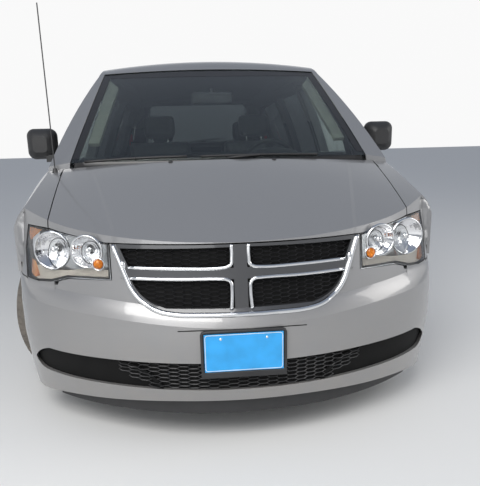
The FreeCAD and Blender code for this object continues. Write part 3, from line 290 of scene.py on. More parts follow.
def rubber_material(name):
    """Tyre rubber, paler with dust low down."""
    material, tree, shader = new_material(name, (0.028, 0.028, 0.028), 0.75)
    grain = use_group(tree, FINE_GRAIN, Color=(0.03, 0.03, 0.03, 1), Scale=500.0, Mottle=0.3)
    film = use_group(tree, ROAD_DUST, Color=grain["Color"], Dust=0.45, Roughness=0.72, Top=1.2)
    wire(tree, shader, Base_Color=film["Color"], Roughness=film["Roughness"])
    bump_into(tree, shader, grain["Height"], 0.25, 0.0005)
    return material


def iron_material(name):
    """Cast iron with a skin of rust."""
    material, tree, shader = new_material(name, (0.14, 0.12, 0.1), 0.6, 0.6)
    cloud = texture(tree, "Noise", Scale=30.0, Detail=8.0)["Fac"]
    ramp = add_node(tree, "ShaderNodeValToRGB", Fac=cloud)
    stops = ((0.42, (0.12, 0.115, 0.11, 1)), (0.62, (0.23, 0.1, 0.045, 1)))
    for stop, (position, color) in zip(ramp.color_ramp.elements, stops):
        stop.position = position
        stop.color = color
    wire(tree, shader, Base_Color=ramp.outputs["Color"])
    bump_into(tree, shader, cloud, 0.5, 0.0015)
    return material


def cloth_material(name, color):
    """Woven seat cloth."""
    material, tree, shader = new_material(name, color, 0.9, Sheen_Weight=0.25, Sheen_Roughness=0.4)
    weave = use_group(tree, CLOTH_WEAVE, Color=(*color, 1), Scale=380.0)
    wire(tree, shader, Base_Color=weave["Color"])
    bump_into(tree, shader, weave["Height"], 0.5, 0.0006)
    return material


BODY_COLOR = (0.27, 0.272, 0.278)
FINISH = {
    "bar_grey": paint_material("grille_bar_grey", (0.055, 0.057, 0.062), 0.1),
    "amber": glass_material("amber_lens", (0.95, 0.28, 0.02), 0.05, 0.6),
    "bulb": glass_material("bulb_glass", (0.95, 0.96, 0.97), 0.02, 0.9),
    # Near-black with weak specular, darker than the black moulding: on the grille mesh and lower intake it is
    # black plastic with painted shade of the openings added; on grooves, seams and handle recesses it is painted
    # shade alone
    "deep_black": grained_material("deep_black", (0.006, 0.006, 0.006), 0.7, Specular_IOR_Level=0.15),
    "black_gloss": grained_material("black_gloss", (0.012, 0.012, 0.013), 0.28, 500.0, 0.05),
    "bowl_metal": metal_material("bowl_metal", (0.85, 0.85, 0.86), 0.08, 0.05),
    "champagne": grained_material("champagne_band", (0.55, 0.5, 0.43), 0.3, 900.0, 0.05),
    "plate_rim": grained_material("plate_rim", (0.6, 0.66, 0.7), 0.35, 900.0, 0.1),
    "pale_trim": grained_material("pale_trim", (0.42, 0.42, 0.36), 0.6),
    "mirror": metal_material("mirror_silver", (0.8, 0.82, 0.83), 0.03, 0.01),
    "body_paint": paint_material("silver_paint", BODY_COLOR),
    "underbody_paint": grained_material("underbody_sealer", (0.06, 0.06, 0.062), 0.8, 260.0, 0.6),
    "black_plastic": grained_material("black_moulding", (0.022, 0.022, 0.023), 0.5),
    "chrome": metal_material("bright_chrome", (0.78, 0.79, 0.8), 0.12, 0.08),
    "clear_glass": glass_material("clear_glass", (0.55, 0.61, 0.59), 0.0, 1.0),
    "tinted_glass": glass_material("privacy_glass", (0.1, 0.11, 0.115), 0.02, 0.9),
    "lamp_lens": glass_material("lamp_lens", (0.97, 0.98, 0.98), 0.015, 1.0),
    "lamp_housing": metal_material("lamp_reflector", (0.6, 0.61, 0.62), 0.2, 0.06),
    "lamp_red": glass_material("red_lens", (0.5, 0.015, 0.012), 0.05, 0.25),
    "tyre_rubber": rubber_material("tyre_rubber"),
    "wheel_metal": metal_material("wheel_silver", (0.52, 0.53, 0.54), 0.35, 0.1, 0.3),
    "bare_iron": iron_material("cast_iron"),
    "engine_metal": metal_material("cast_aluminium", (0.38, 0.38, 0.38), 0.55, 0.2),
    "seat_fabric": cloth_material("seat_cloth", (0.12, 0.12, 0.125)),
    "cabin_plastic": grained_material("cabin_moulding", (0.07, 0.07, 0.072), 0.6),
    "tank_plastic": grained_material("tank_moulding", (0.03, 0.03, 0.03), 0.6),
    "exhaust_steel": metal_material("exhaust_steel", (0.35, 0.31, 0.27), 0.45, 0.3),
    "plate_blue": grained_material("plate_blue", (0.03, 0.33, 0.72), 0.35, 900.0, 0.1),
}
HOOD_PAINT = paint_material("hood_paint", BODY_COLOR, crease=True)

slot_of = {row["node"]: row["material_slot"] for row in frame["record"]["subparts"]}
for label, node in nodes.items():
    finish = HOOD_PAINT if label == "hood" else FINISH[slot_of[label]]
    node.data.materials.clear()
    node.data.materials.append(finish)


# Building helpers


def at_station(x, station, z):
    """A point from millimetres: x, distance after the front tip, height."""
    return Vector((x / 1000, TIP + station / 1000, z / 1000))


def new_object(name, data):
    """An object of the scene that holds some data."""
    made = bpy.data.objects.new(name, data)
    scene.collection.objects.link(made)
    return made


def object_of(name, mesh):
    """A bmesh as an object of the scene."""
    data = bpy.data.meshes.new(name)
    mesh.to_mesh(data)
    mesh.free()
    return new_object(name, data)


def evaluated_mesh(thing):
    """A mesh of what an object looks like with its curve or modifiers worked out."""
    return bpy.data.meshes.new_from_object(thing.evaluated_get(bpy.context.evaluated_depsgraph_get()))


def surface_of(*labels):
    """The skin of some CAD nodes, for seating pieces on it."""
    mesh = bmesh.new()
    for label in labels:
        mesh.from_mesh(nodes[label].data)
    skin = BVHTree.FromBMesh(mesh)
    mesh.free()
    return skin


def touch(skin, point, way, lift=0.0):
    """The point carried along way onto the skin, then back by lift."""
    found = skin.ray_cast(Vector(point) - way * 6, way)[0]
    return Vector(point) if found is None else found - way * lift


def laid(points, skin, way, lift=0.0):
    """Points carried along way onto a skin. One over a hole takes the depth of the nearest that lands."""
    hits = [skin.ray_cast(point - way * 6, way)[0] for point in points]
    landed = [hit - way * lift for hit in hits if hit is not None]
    places = []
    for point, hit in zip(points, hits):
        if hit is not None:
            places.append(hit - way * lift)
            continue
        offsets = [place - point for place in landed]
        near = min(offsets, key=lambda offset: (offset - way * offset.dot(way)).length)
        places.append(point + way * near.dot(way))
    return places


def lay_on(mesh, skin, way, lift=0.0):
    """Carries every point of a mesh onto a skin."""
    verts = list(mesh.verts)
    for vert, place in zip(verts, laid([vert.co.copy() for vert in verts], skin, way, lift)):
        vert.co = place


def add_piece(name, mesh, finish, body="root", smooth=True):
    """A finished bmesh as a piece that rides on a body."""
    bmesh.ops.remove_doubles(mesh, verts=mesh.verts, dist=0.00001)
    bmesh.ops.recalc_face_normals(mesh, faces=mesh.faces)
    piece = object_of(name, mesh)
    for polygon in piece.data.polygons:
        polygon.use_smooth = smooth
    piece.data.materials.append(FINISH[finish])
    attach(piece, body)
    return piece


def add_modifier(piece, name, kind, **values):
    """A modifier with its settings."""
    modifier = piece.modifiers.new(name, kind)
    for key, value in values.items():
        setattr(modifier, key, value)
    return modifier


def tube_mesh(points, radius, loop=False):
    """A round rod: smooth through points, or straight between them and back to the first."""
    curve = bpy.data.curves.new("path", "CURVE")
    curve.dimensions = "3D"
    curve.bevel_depth = radius
    curve.bevel_resolution = 3
    curve.resolution_u = 8
    curve.use_fill_caps = True
    spline = curve.splines.new("POLY" if loop else "BEZIER")
    spline.use_cyclic_u = loop
    knots = spline.points if loop else spline.bezier_points
    knots.add(len(points) - 1)
    for knot, point in zip(knots, points):
        if loop:
            knot.co = (*point, 1)
        else:
            knot.co = point
            knot.handle_left_type = knot.handle_right_type = "AUTO"
    holder = new_object("path", curve)
    bpy.context.view_layer.update()
    data = evaluated_mesh(holder)
    mesh = bmesh.new()
    mesh.from_mesh(data)
    bpy.data.objects.remove(holder)
    bpy.data.curves.remove(curve)
    bpy.data.meshes.remove(data)
    return mesh


def join(*meshes):
    """Several bmeshes as one."""
    whole = meshes[0]
    for extra in meshes[1:]:
        data = bpy.data.meshes.new("part")
        extra.to_mesh(data)
        extra.free()
        whole.from_mesh(data)
        bpy.data.meshes.remove(data)
    return whole


def flipped(mesh):
    """The mesh's mirror image across the middle plane."""
    other = mesh.copy()
    bmesh.ops.scale(other, vec=(-1, 1, 1), verts=other.verts)
    bmesh.ops.reverse_faces(other, faces=other.faces)
    return other


def mirror_of(mesh):
    """The mesh with its mirror image, as one."""
    return join(mesh, flipped(mesh))


def add_pair(name, mesh, finish, body="root", **options):
    """A left-hand mesh and its mirror image as two pieces, each on its own side's body."""
    bodies = ("root", "root") if body == "root" else (body + "_left", body + "_right")
    other = flipped(mesh)
    return (add_piece(name + "_left", mesh, finish, bodies[0], **options),
            add_piece(name + "_right", other, finish, bodies[1], **options))


def front_view(points):
    """Points (x, z) in millimetres, as vectors in front of the van."""
    return [Vector((x / 1000, -3.0, z / 1000)) for x, z in points]


def rear_view(points):
    """Points (x, z) in millimetres, as vectors behind the van."""
    return [Vector((x / 1000, 3.0, z / 1000)) for x, z in points]


def side_view(points):
    """Points (station, z) in millimetres, as vectors left of the van."""
    return [Vector((1.5, TIP + station / 1000, z / 1000)) for station, z in points]


def rectangle(low_x, high_x, low_z, high_z):
    """A rectangle's corners, going round."""
    return [(low_x, low_z), (high_x, low_z), (high_x, high_z), (low_x, high_z)]


def patch(points, skin, way, lift, cell=0.03):
    """A flat outline cut into cells and laid on a skin along way."""
    mesh = bmesh.new()
    mesh.faces.new([mesh.verts.new(point) for point in points])
    for axis in range(3):
        if abs(way[axis]) > 0.5:
            continue
        low, high = min(point[axis] for point in points), max(point[axis] for point in points)
        across = Vector([float(axis == index) for index in range(3)])
        for step in range(1, int((high - low) / cell) + 1):
            bmesh.ops.bisect_plane(mesh, geom=mesh.verts[:] + mesh.edges[:] + mesh.faces[:], dist=0.00001,
                                   plane_co=across * (low + step * cell), plane_no=across)
    lay_on(mesh, skin, way, lift)
    return mesh


def front_patch(outline, skin, lift, cell=0.03):
    """A patch on the front."""
    return patch(front_view(outline), skin, AHEAD, lift, cell)


def side_patch(outline, skin, lift, cell=0.03):
    """A patch on the left side."""
    return patch(side_view(outline), skin, INWARD_LEFT, lift, cell)


def rear_patch(outline, skin, lift, cell=0.03):
    """A patch on the rear."""
    return patch(rear_view(outline), skin, -AHEAD, lift, cell)


def side_line(points, skin, lift):
    """Points (station, z) in millimetres, carried onto the left side."""
    return laid(side_view(points), skin, INWARD_LEFT, lift)


def soft_box(low, high, edge, steps=2):
    """A box with rounded edges between two corners."""
    mesh = bmesh.new()
    low, high = Vector(low), Vector(high)
    bmesh.ops.create_cube(mesh, size=1.0)
    bmesh.ops.scale(mesh, vec=high - low, verts=mesh.verts)
    bmesh.ops.translate(mesh, vec=(low + high) / 2, verts=mesh.verts)
    bmesh.ops.bevel(mesh, geom=mesh.edges[:], offset=edge, segments=steps, profile=0.5, affect="EDGES",
                    material=-1)
    return mesh


def ball(centre, radii, segments=20):
    """An ellipsoid."""
    mesh = bmesh.new()
    bmesh.ops.create_uvsphere(mesh, u_segments=segments, v_segments=segments // 2, radius=1.0)
    bmesh.ops.scale(mesh, vec=radii, verts=mesh.verts)
    bmesh.ops.translate(mesh, vec=centre, verts=mesh.verts)
    return mesh


def spun(profile, centre, axis, steps=48):
    """A profile of (radius, distance along the axis) turned about an axis through centre."""
    mesh = bmesh.new()
    axis = Vector(axis).normalized()
    side = axis.orthogonal().normalized()
    verts = [mesh.verts.new(Vector(centre) + side * radius + axis * reach) for radius, reach in profile]
    edges = [mesh.edges.new(pair) for pair in zip(verts, verts[1:])]
    bmesh.ops.spin(mesh, geom=verts + edges, cent=centre, axis=axis, dvec=(0, 0, 0), angle=math.tau,
                   steps=steps, use_merge=True, use_duplicate=False)
    bmesh.ops.remove_doubles(mesh, verts=mesh.verts, dist=0.00002)
    return mesh


# Floor, lamps and camera

def stage_plane():
    """A plain pale floor."""
    mesh = bmesh.new()
    bmesh.ops.create_grid(mesh, x_segments=1, y_segments=1, size=30)
    floor = object_of("studio_floor", mesh)
    floor.data.materials.append(new_material("pale_floor", (0.72, 0.72, 0.71), 0.9)[0])


stage_plane()

SKY_BANDS = [
    # height of the look, 0 straight down and 1 straight up, and the light's colour there
    (0.02, (0.5, 0.5, 0.5)),
    (0.49, (0.85, 0.86, 0.88)),
    (0.62, (0.95, 0.97, 1.0)),
    (0.78, (0.40, 0.43, 0.49)),
    (0.98, (0.30, 0.35, 0.45)),
]


def world_light():
    """A banded sky for light and reflections, with a pale backdrop that only the camera sees."""
    world = bpy.data.worlds.new("studio")
    scene.world = world
    world.use_nodes = True
    tree = world.node_tree
    height = math_node(tree, "MULTIPLY_ADD", coordinates(tree, "Generated")["Z"], 0.5, 0.5)
    ramp = add_node(tree, "ShaderNodeValToRGB", Fac=height)
    stops = ramp.color_ramp.elements
    for position, color in SKY_BANDS:
        stops.new(position).color = (*color, 1)
    # A new ramp's own stops, black at 0 and white at 1
    stops.remove(stops[0])
    stops.remove(stops[-1])
    back = tree.nodes["Background"]
    back.inputs["Strength"].default_value = 0.8
    tree.links.new(ramp.outputs["Color"], back.inputs["Color"])
    pale = add_node(tree, "ShaderNodeBackground", Color=(1, 1, 1, 1), Strength=0.95)
    path = add_node(tree, "ShaderNodeLightPath")
    mix = add_node(tree, "ShaderNodeMixShader")
    sources = (path.outputs["Is Camera Ray"], back.outputs[0], pale.outputs[0])
    for source, socket in zip(sources, mix.inputs):
        tree.links.new(source, socket)
    tree.links.new(mix.outputs[0], tree.nodes["World Output"].inputs["Surface"])


def area_lamp(name, place, aim, size, power, color=(1, 1, 1)):
    """A rectangular lamp at place that points at aim."""
    data = bpy.data.lights.new(name, "AREA")
    data.shape = "RECTANGLE"
    data.size, data.size_y = size
    data.energy = power
    data.color = color
    lamp = new_object(name, data)
    lamp.location = place
    lamp.rotation_euler = (Vector(aim) - Vector(place)).to_track_quat("-Z", "Y").to_euler()


world_light()
area_lamp("key_softbox", (-1.8, -5.6, 4.6), (0, -1.2, 0.8), (4.0, 3.0), 260, (1.0, 0.985, 0.96))
area_lamp("front_fill", (-2.5, -7.5, 2.6), (0, -2.0, 0.7), (4.0, 2.5), 60)
area_lamp("side_fill", (5.5, -3.0, 3.0), (0, -1.0, 0.8), (3.0, 3.0), 90, (1.0, 0.98, 0.95))

# Camera's place, lens and shift, and its turn to the right, down and about its own line
CAMERA_PLACE = (-0.200, -4.5955, 1.238)
LENS, SHIFT_X, SHIFT_Y = 42.45, 0.0046, 0.0721
yaw, pitch, roll = math.radians(5.15), math.radians(14.51), math.radians(-1.33)
ahead = Vector((math.sin(yaw) * math.cos(pitch), math.cos(yaw) * math.cos(pitch), -math.sin(pitch)))
level = Vector((math.cos(yaw), -math.sin(yaw), 0))
above = level.cross(ahead)
right = math.cos(roll) * level + math.sin(roll) * above
upward = -math.sin(roll) * level + math.cos(roll) * above
camera_data = bpy.data.cameras.new("camera")
camera_data.sensor_fit = "HORIZONTAL"
camera_data.sensor_width = 36
camera_data.lens = LENS
camera_data.shift_x = SHIFT_X
camera_data.shift_y = SHIFT_Y
camera = new_object("camera", camera_data)
camera_turn = Matrix((right, upward, -ahead)).transposed().to_4x4()
camera.matrix_world = Matrix.Translation(CAMERA_PLACE) @ camera_turn
scene.camera = camera
scene.view_settings.view_transform = "Standard"


# Grille: chrome surround, chrome edges of the four openings and a lattice of long cells

face_skin = surface_of("grille", "front_bumper", "hood")
mesh_skin = surface_of("grille_mesh")


def front_line(points, skin, lift):
    """Front-view points in millimetres, carried back onto the skin, or level with its nearest edge."""
    line = []
    for spot in front_view(points):
        found = skin.ray_cast(spot, AHEAD)[0]
        if found is None:
            near = skin.find_nearest(Vector((spot.x, TIP + 0.05, spot.z)))[0]
            found = Vector((spot.x, near.y, spot.z))
        line.append(found - AHEAD * lift)
    return line


grille_skin = surface_of("grille")
SURROUND = [(489, 816), (465, 757), (439, 692), (423, 655), (396, 618), (366, 594), (334, 578), (277, 565),
            (140, 560), (0, 559)]
UPPER_EDGE = [(33, 822), (33, 765), (36, 748), (50, 738), (75, 734), (240, 733), (430, 733)]
LOWER_EDGE = [(40, 576), (36, 650), (39, 678), (52, 689), (78, 692), (240, 692), (424, 692)]
surround_line = SURROUND + [(-x, z) for x, z in reversed(SURROUND[:-1])]
add_piece("grille_surround", tube_mesh(front_line(surround_line, face_skin, 0.001), 0.011), "chrome")
edges = [tube_mesh(front_line(line, grille_skin, -0.001), 0.0075) for line in (UPPER_EDGE, LOWER_EDGE)]
nub = ball(front_line([(452, 740)], grille_skin, 0.002)[0], (0.013, 0.009, 0.019))
add_piece("grille_edges", mirror_of(join(*edges, nub)), "chrome")
nodes["grille"].data.materials[0] = FINISH["bar_grey"]
# The mesh behind the grille is black plastic darkened further with painted shade
nodes["grille_mesh"].data.materials[0] = FINISH["deep_black"]

# How far the cells may go above and below their middle, and a six-sided cell's height over its radius
LATTICE_HALF, CELL_TALL = 0.15, 1.732


def lattice(name, wide, high, field, skin, lift, bar, finish):
    """Long six-sided cells laid on a skin, drawn as bars. Columns stand three quarters of a cell apart."""
    mesh = bmesh.new()
    middle, reach, ceiling, floor, bend, slope = field
    columns, rows = int(reach / (wide * 0.75)) + 1, int(LATTICE_HALF / high)
    turn = Matrix.Rotation(math.radians(90), 4, "X") @ Matrix.Rotation(math.radians(90), 4, "Z")
    for column in range(-columns, columns + 1):
        for row in range(-rows, rows + 1):
            x = column * wide * 0.75
            z = middle + (row + (column % 2) * 0.5) * high
            if abs(x) > reach or not floor + max(0.0, abs(x) - bend) * slope < z < ceiling:
                continue
            size = Matrix.Diagonal((wide / 2, 1, high / CELL_TALL, 1))
            place = Matrix.Translation((x, 0, z)) @ size @ turn
            bmesh.ops.create_circle(mesh, cap_ends=True, segments=6, radius=1.0, matrix=place)
    bmesh.ops.remove_doubles(mesh, verts=mesh.verts, dist=0.0015)
    lay_on(mesh, skin, AHEAD, lift)
    piece = add_piece(name, mesh, finish, smooth=False)
    add_modifier(piece, "bars", "WIREFRAME", thickness=bar, use_even_offset=False, use_replace=True)


# Where cells may stand: middle height, half the width, top and floor, and how the floor rises past a bend
UPPER_FIELD = (0.69, 0.46, 0.812, 0.578, 0.29, 0.75)
INTAKE_FIELD = (0.31, 0.50, 0.364, 0.262, 0.36, 0.55)
intake_skin = surface_of("lower_grille")
lattice("grille_lattice", 0.046, 0.0165, UPPER_FIELD, mesh_skin, 0.012, 0.0045, "black_gloss")
lattice("intake_lattice", 0.052, 0.0175, INTAKE_FIELD, intake_skin, 0.007, 0.005, "black_plastic")
# The lower intake's backing is black plastic darkened further with painted shade
nodes["lower_grille"].data.materials[0] = FINISH["deep_black"]

# Number plate's frame: a rim with a wider blank band below, the plate's pale raised edge and its screws

plate_low, plate_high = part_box("number_plate")
plate_front = plate_low.y
RIM_RADIUS, RIM_CORNER, EDGE_RADIUS, EDGE_CORNER = 0.0065, 0.012, 0.0016, 0.009
SCREW_PROFILE = [(0.0, -0.0012), (0.004, -0.001), (0.0055, 0.001)]


def rounded_rectangle(half, low, high, y, corner):
    """The corners of a rounded rectangle in the front view, three points each."""
    points = []
    for side_x, side_z in ((1, -1), (1, 1), (-1, 1), (-1, -1)):
        x, z = side_x * (half - corner), (high if side_z > 0 else low) - side_z * corner
        turn = math.atan2(side_z, side_x)
        for step in (-1, 0, 1):
            angle = turn + step * math.pi / 4
            points.append((x + corner * math.cos(angle), y, z + corner * math.sin(angle)))
    return points


rim_line = rounded_rectangle(0.161, plate_low.z - 0.008, plate_high.z + 0.008, plate_front + RIM_RADIUS,
                             RIM_CORNER)
rim = tube_mesh(rim_line, RIM_RADIUS, loop=True)
band = soft_box((-0.166, plate_front + 0.001, plate_low.z - 0.028),
                (0.166, plate_front + 0.013, plate_low.z - 0.002), 0.003)
add_piece("plate_frame", join(rim, band), "black_plastic")
edge_line = rounded_rectangle(0.149, plate_low.z + 0.0035, plate_high.z - 0.0035, plate_front + 0.0006,
                              EDGE_CORNER)
add_piece("plate_edge", tube_mesh(edge_line, EDGE_RADIUS, loop=True), "plate_rim")
screws = [spun(SCREW_PROFILE, (x, plate_front, plate_high.z - 0.02), (0, 1, 0), 16) for x in (-0.089, 0.089)]
add_piece("plate_screws", join(*screws), "chrome")

# Headlamps: two bowls, bulbs, a lower band, a dark border and amber markers on each side

lens_skin = surface_of("headlamp_lenses")
LAMP_WAY = Vector((0.24, -1, 0)).normalized()
LAMP_BOWLS = [
    # centre's x, station and height, and radius, millimetres
    (752, 322, 781, 73),
    (597, 216, 791, 60),
]
BOWL_DEPTH, BOWL_SHARES = 0.05, (0.1, 0.2, 0.35, 0.5, 0.65, 0.8, 0.92, 1.0)
# Profiles as (radius, distance along the lamp's way), the bowl's rim as steps out from its radius
BOWL_RIM = [(0, -0.002), (0.002, 0.004), (0.006, 0.003), (0.008, -0.004)]
BULB_SHADE = [(0.002, 0.002), (0.011, 0.0), (0.013, -0.01), (0.011, -0.03)]
TURN_RIM = [(0.021, -0.002), (0.023, 0.003), (0.026, 0.002), (0.027, -0.003)]
bowls, rims, bulbs = [], [], []
for x, station, z, radius in LAMP_BOWLS:
    centre = at_station(x, station, z)
    reach = radius / 1000
    profile = [(reach * share, -BOWL_DEPTH * (1 - share * share)) for share in BOWL_SHARES]
    bowls.append(spun(profile, centre, LAMP_WAY, 40))
    rims.append(spun([(reach + step, along) for step, along in BOWL_RIM], centre, LAMP_WAY))
    rims.append(spun(BULB_SHADE, centre - LAMP_WAY * 0.006, LAMP_WAY, 24))
    bulbs.append(ball(centre - LAMP_WAY * 0.026, (0.009, 0.018, 0.009)))
rims.append(spun(TURN_RIM, at_station(551, 200, 741), LAMP_WAY, 28))
add_piece("lamp_bowls", mirror_of(join(*bowls)), "bowl_metal", smooth=False)
add_piece("lamp_rims", mirror_of(join(*rims)), "chrome")
add_piece("lamp_bulbs", mirror_of(join(*bulbs)), "bulb")
turn_bulb = ball(at_station(551, 204, 741), (0.02, 0.014, 0.02))
MARKER_TOP = [(806, 852), (874, 856), (884, 820), (872, 800), (846, 822)]
MARKER_LOW = [(846, 716), (868, 726), (874, 664), (852, 652), (826, 662)]
markers = [front_patch(outline, lens_skin, -0.012, 0.02) for outline in (MARKER_TOP, MARKER_LOW)]
add_piece("amber_markers", mirror_of(join(turn_bulb, *markers)), "amber")
LOWER_BAND = [(512, 688), (512, 716), (600, 718), (660, 706), (700, 700), (770, 694), (826, 704), (846, 700),
              (850, 652), (830, 646), (770, 654), (690, 682)]
add_piece("lamp_lower_band", mirror_of(front_patch(LOWER_BAND, lens_skin, -0.016, 0.02)), "champagne")
LAMP_BORDER = [(509, 818), (786, 855), (880, 858), (900, 760), (891, 645), (833, 645), (767, 653), (688, 679),
               (508, 687)]
border = tube_mesh(front_line(LAMP_BORDER, lens_skin, -0.007), 0.0055, loop=True)
add_piece("lamp_border", mirror_of(border), "black_plastic")

# Fender corners: the skin closes beside the lamp, and the bumper's seam ends under it
corner_skin = surface_of("fender_left", "front_bumper")
FENDER_CORNER = [(922, 690), (960, 690), (962, 800), (956, 870), (936, 908), (912, 908), (916, 870),
                 (924, 760)]
add_piece("fender_corners", mirror_of(front_patch(FENDER_CORNER, corner_skin, 0.001, 0.01)), "body_paint")
SEAM_COVER = [(752, 612), (892, 606), (892, 645), (833, 643), (767, 650), (752, 654)]
seam_cover = front_patch(SEAM_COVER, corner_skin, 0.0007, 0.015)
add_piece("lamp_seam_covers", mirror_of(seam_cover), "body_paint")

# Bumper: a near-black rod sunk into the skin above the plate, painted shade of a groove
bumper_skin = surface_of("front_bumper")
GROOVE = [(-250, 503), (-180, 506), (0, 507), (180, 506), (250, 503)]
groove_line = front_line(GROOVE, bumper_skin, -0.0012)
add_piece("bumper_groove", tube_mesh(groove_line, 0.0025), "deep_black")

# Windscreen: printed border, wipers, washer nozzles and rear-view mirror
screen_skin = surface_of("windscreen")
SCREEN_SIDE = [(770, 1118), (732, 1118), (636, 1575), (660, 1598), (675, 1602)]
SCREEN_TOP = [(-650, 1576), (650, 1576), (668, 1600), (0, 1614), (-668, 1600)]
SCREEN_LOW = [(-760, 1060), (760, 1060), (752, 1098), (400, 1118), (0, 1124), (-400, 1118), (-752, 1098)]


def screen_patch(outline):
    """A printed patch on the windscreen, kept only where the glass is."""
    mesh = front_patch(outline, screen_skin, 0.0007, 0.02)
    off_glass = [vert for vert in mesh.verts if vert.co.y < TIP or vert.co.y > 0]
    bmesh.ops.delete(mesh, geom=off_glass, context="VERTS")
    return mesh


screen_border = join(mirror_of(screen_patch(SCREEN_SIDE)), screen_patch(SCREEN_TOP), screen_patch(SCREEN_LOW))
add_piece("screen_border", screen_border, "black_gloss")
cowl_skin = surface_of("windscreen", "cowl_and_wipers")
WIPERS = [
    # pivot, elbow, blade's two ends, each (x, z) in the front view
    ((-640, 1066), (-560, 1084), (-700, 1104), (-180, 1120)),
    ((-40, 1090), (60, 1110), (-110, 1118), (500, 1112)),
]
arms = []
for pivot, elbow, near, far in WIPERS:
    middle = ((near[0] + far[0]) / 2, (near[1] + far[1]) / 2 + 4)
    arms.append(tube_mesh(front_line([pivot, elbow, middle], cowl_skin, 0.016), 0.007))
    arms.append(tube_mesh(front_line([near, middle, far], cowl_skin, 0.009), 0.006))
    arms.append(ball(front_line([pivot], cowl_skin, 0.01)[0], (0.02, 0.02, 0.02)))
add_piece("wipers", join(*arms), "black_plastic")
hood_skin = surface_of("hood")
nozzle_places = [touch(hood_skin, at_station(x, 893, 1400), DOWN, -0.001) for x in (-262, 262)]
nozzles = [ball(place, (0.012, 0.018, 0.008)) for place in nozzle_places]
add_piece("washer_nozzles", join(*nozzles), "black_plastic", "hood")
mirror_place = Vector((-0.008, TIP + 1.60, 1.432))
housing = soft_box(mirror_place - Vector((0.125, 0.02, 0.036)), mirror_place + Vector((0.125, 0.022, 0.036)),
                   0.016, 3)
STALK_STEPS = [(0, 0, 0), (0, 0.01, 0.04), (0, 0.012, 0.062)]
stalk = tube_mesh([mirror_place + Vector(step) for step in STALK_STEPS], 0.011)
add_piece("cabin_mirror", join(housing, stalk), "cabin_plastic")

# Cabin: pillar trims, a grab handle, gauge hood with centre vents, and steering wheel's pad

PILLAR_TRIM = [(700, 1180), (640, 1180), (575, 1500), (640, 1560)]
GRAB_HANDLE = [(-655, 1240, -0.055), (-640, 1270, -0.1), (-615, 1390, -0.1), (-605, 1420, -0.055)]
PAD_PROFILE = [(0.0, 0.034), (0.05, 0.032), (0.085, 0.022), (0.096, 0.004), (0.09, -0.012)]
WHEEL_CENTRE, COLUMN_ANGLE = at_station(372, 1835, 1010), math.radians(24)
trim = front_patch(PILLAR_TRIM, screen_skin, -0.05, 0.04)
trims = add_piece("pillar_trims", mirror_of(trim), "pale_trim")
add_modifier(trims, "wall", "SOLIDIFY", thickness=0.02, offset=0)
add_modifier(trims, "edge", "BEVEL", width=0.006, segments=3)
grab = [touch(screen_skin, (x / 1000, -3, z / 1000), AHEAD, lift) for x, z, lift in GRAB_HANDLE]
add_piece("grab_handle", tube_mesh(grab, 0.011), "pale_trim")
dash_skin = surface_of("dashboard")
gauge_hood = ball(touch(dash_skin, at_station(372, 1650, 1500), DOWN, -0.01), (0.17, 0.11, 0.05), 28)
centre_vents = soft_box((-0.15, TIP + 1.62, 1.06), (0.15, TIP + 1.745, 1.1), 0.014, 3)
add_piece("gauge_hood", join(gauge_hood, centre_vents), "cabin_plastic")
wheel_way = Vector((0, math.cos(COLUMN_ANGLE), math.sin(COLUMN_ANGLE)))
pad = spun(PAD_PROFILE, WHEEL_CENTRE, wheel_way, 36)
add_piece("steering_pad", pad, "cabin_plastic", "steering_wheel")

# Dashboard: blank screen, control panel, glovebox seam as a painted shade line, and round vents, seen through the
# glass

for name, corners, finish in (("dash_screen", (-98, 98, 925, 1015), "black_gloss"),
                              ("dash_controls", (-98, 98, 800, 905), "deep_black")):
    add_piece(name, rear_patch(rectangle(*corners), dash_skin, 0.0015, 0.02), finish)
# A near-black rod round the glovebox lid: painted shade of its gap
glovebox = laid(rear_view(rectangle(-610, -190, 740, 880)), dash_skin, -AHEAD, 0.0005)
add_piece("glovebox_gap_shade", tube_mesh(glovebox, 0.002, loop=True), "deep_black")
VENT_PROFILE = [(0.0, 0.001), (0.028, 0.003), (0.036, 0.008), (0.042, 0.002)]
vent_places = laid(rear_view([(x, 985) for x in (-600, -165, 165, 600)]), dash_skin, -AHEAD)
vents = [spun(VENT_PROFILE, place, (0, 1, 0), 32) for place in vent_places]
add_piece("dash_vents", join(*vents), "black_gloss")

# Seats: cushions and backs swollen as cloth, with seams, side bolsters and head restraints

SEAT_ROWS = [
    # name, and in millimetres the middle, front station, width, base, back's top and restraint's width
    ("front_left", 372, 2010, 530, 470, 1170, 270),
    ("front_right", -372, 2010, 530, 470, 1170, 270),
    ("middle_left", 390, 2900, 500, 460, 1130, 250),
    ("middle_right", -390, 2900, 500, 460, 1130, 250),
    ("bench", 0, 3860, 1080, 450, 1090, 240),
]
# Depths and thicknesses; the back's length comes from its row
CUSHION_DEPTH, CUSHION_THICK, BACK_THICK, REST_DEPTH, REST_THICK = 0.50, 0.15, 0.13, 0.17, 0.10
CUSHION_TURN = Matrix.Rotation(math.radians(4), 4, "X")
BACK_TURN = Matrix.Rotation(math.radians(90 - 17), 4, "X")
# Where a welt lies and where the side bolster starts, as a share of the pad's half width
WELT_SHARE = BOLSTER_SHARE = 0.62
# Millimetres from the front station, the base or the back's top to the pads' middles and the plinth
CUSHION_STEP, CUSHION_RISE = 225, 128
BACK_STEP, BACK_FOOT, BACK_GAP, SIDE_GAP = 535, 160, 130, 24
REST_STEP, REST_RISE, REST_GAP = 628, 108, 30
PLINTH_INSET, PLINTH_END, PLINTH_FOOT = 60, 440, 331
VOXEL, CLOTH_FRAMES = 0.02, 14


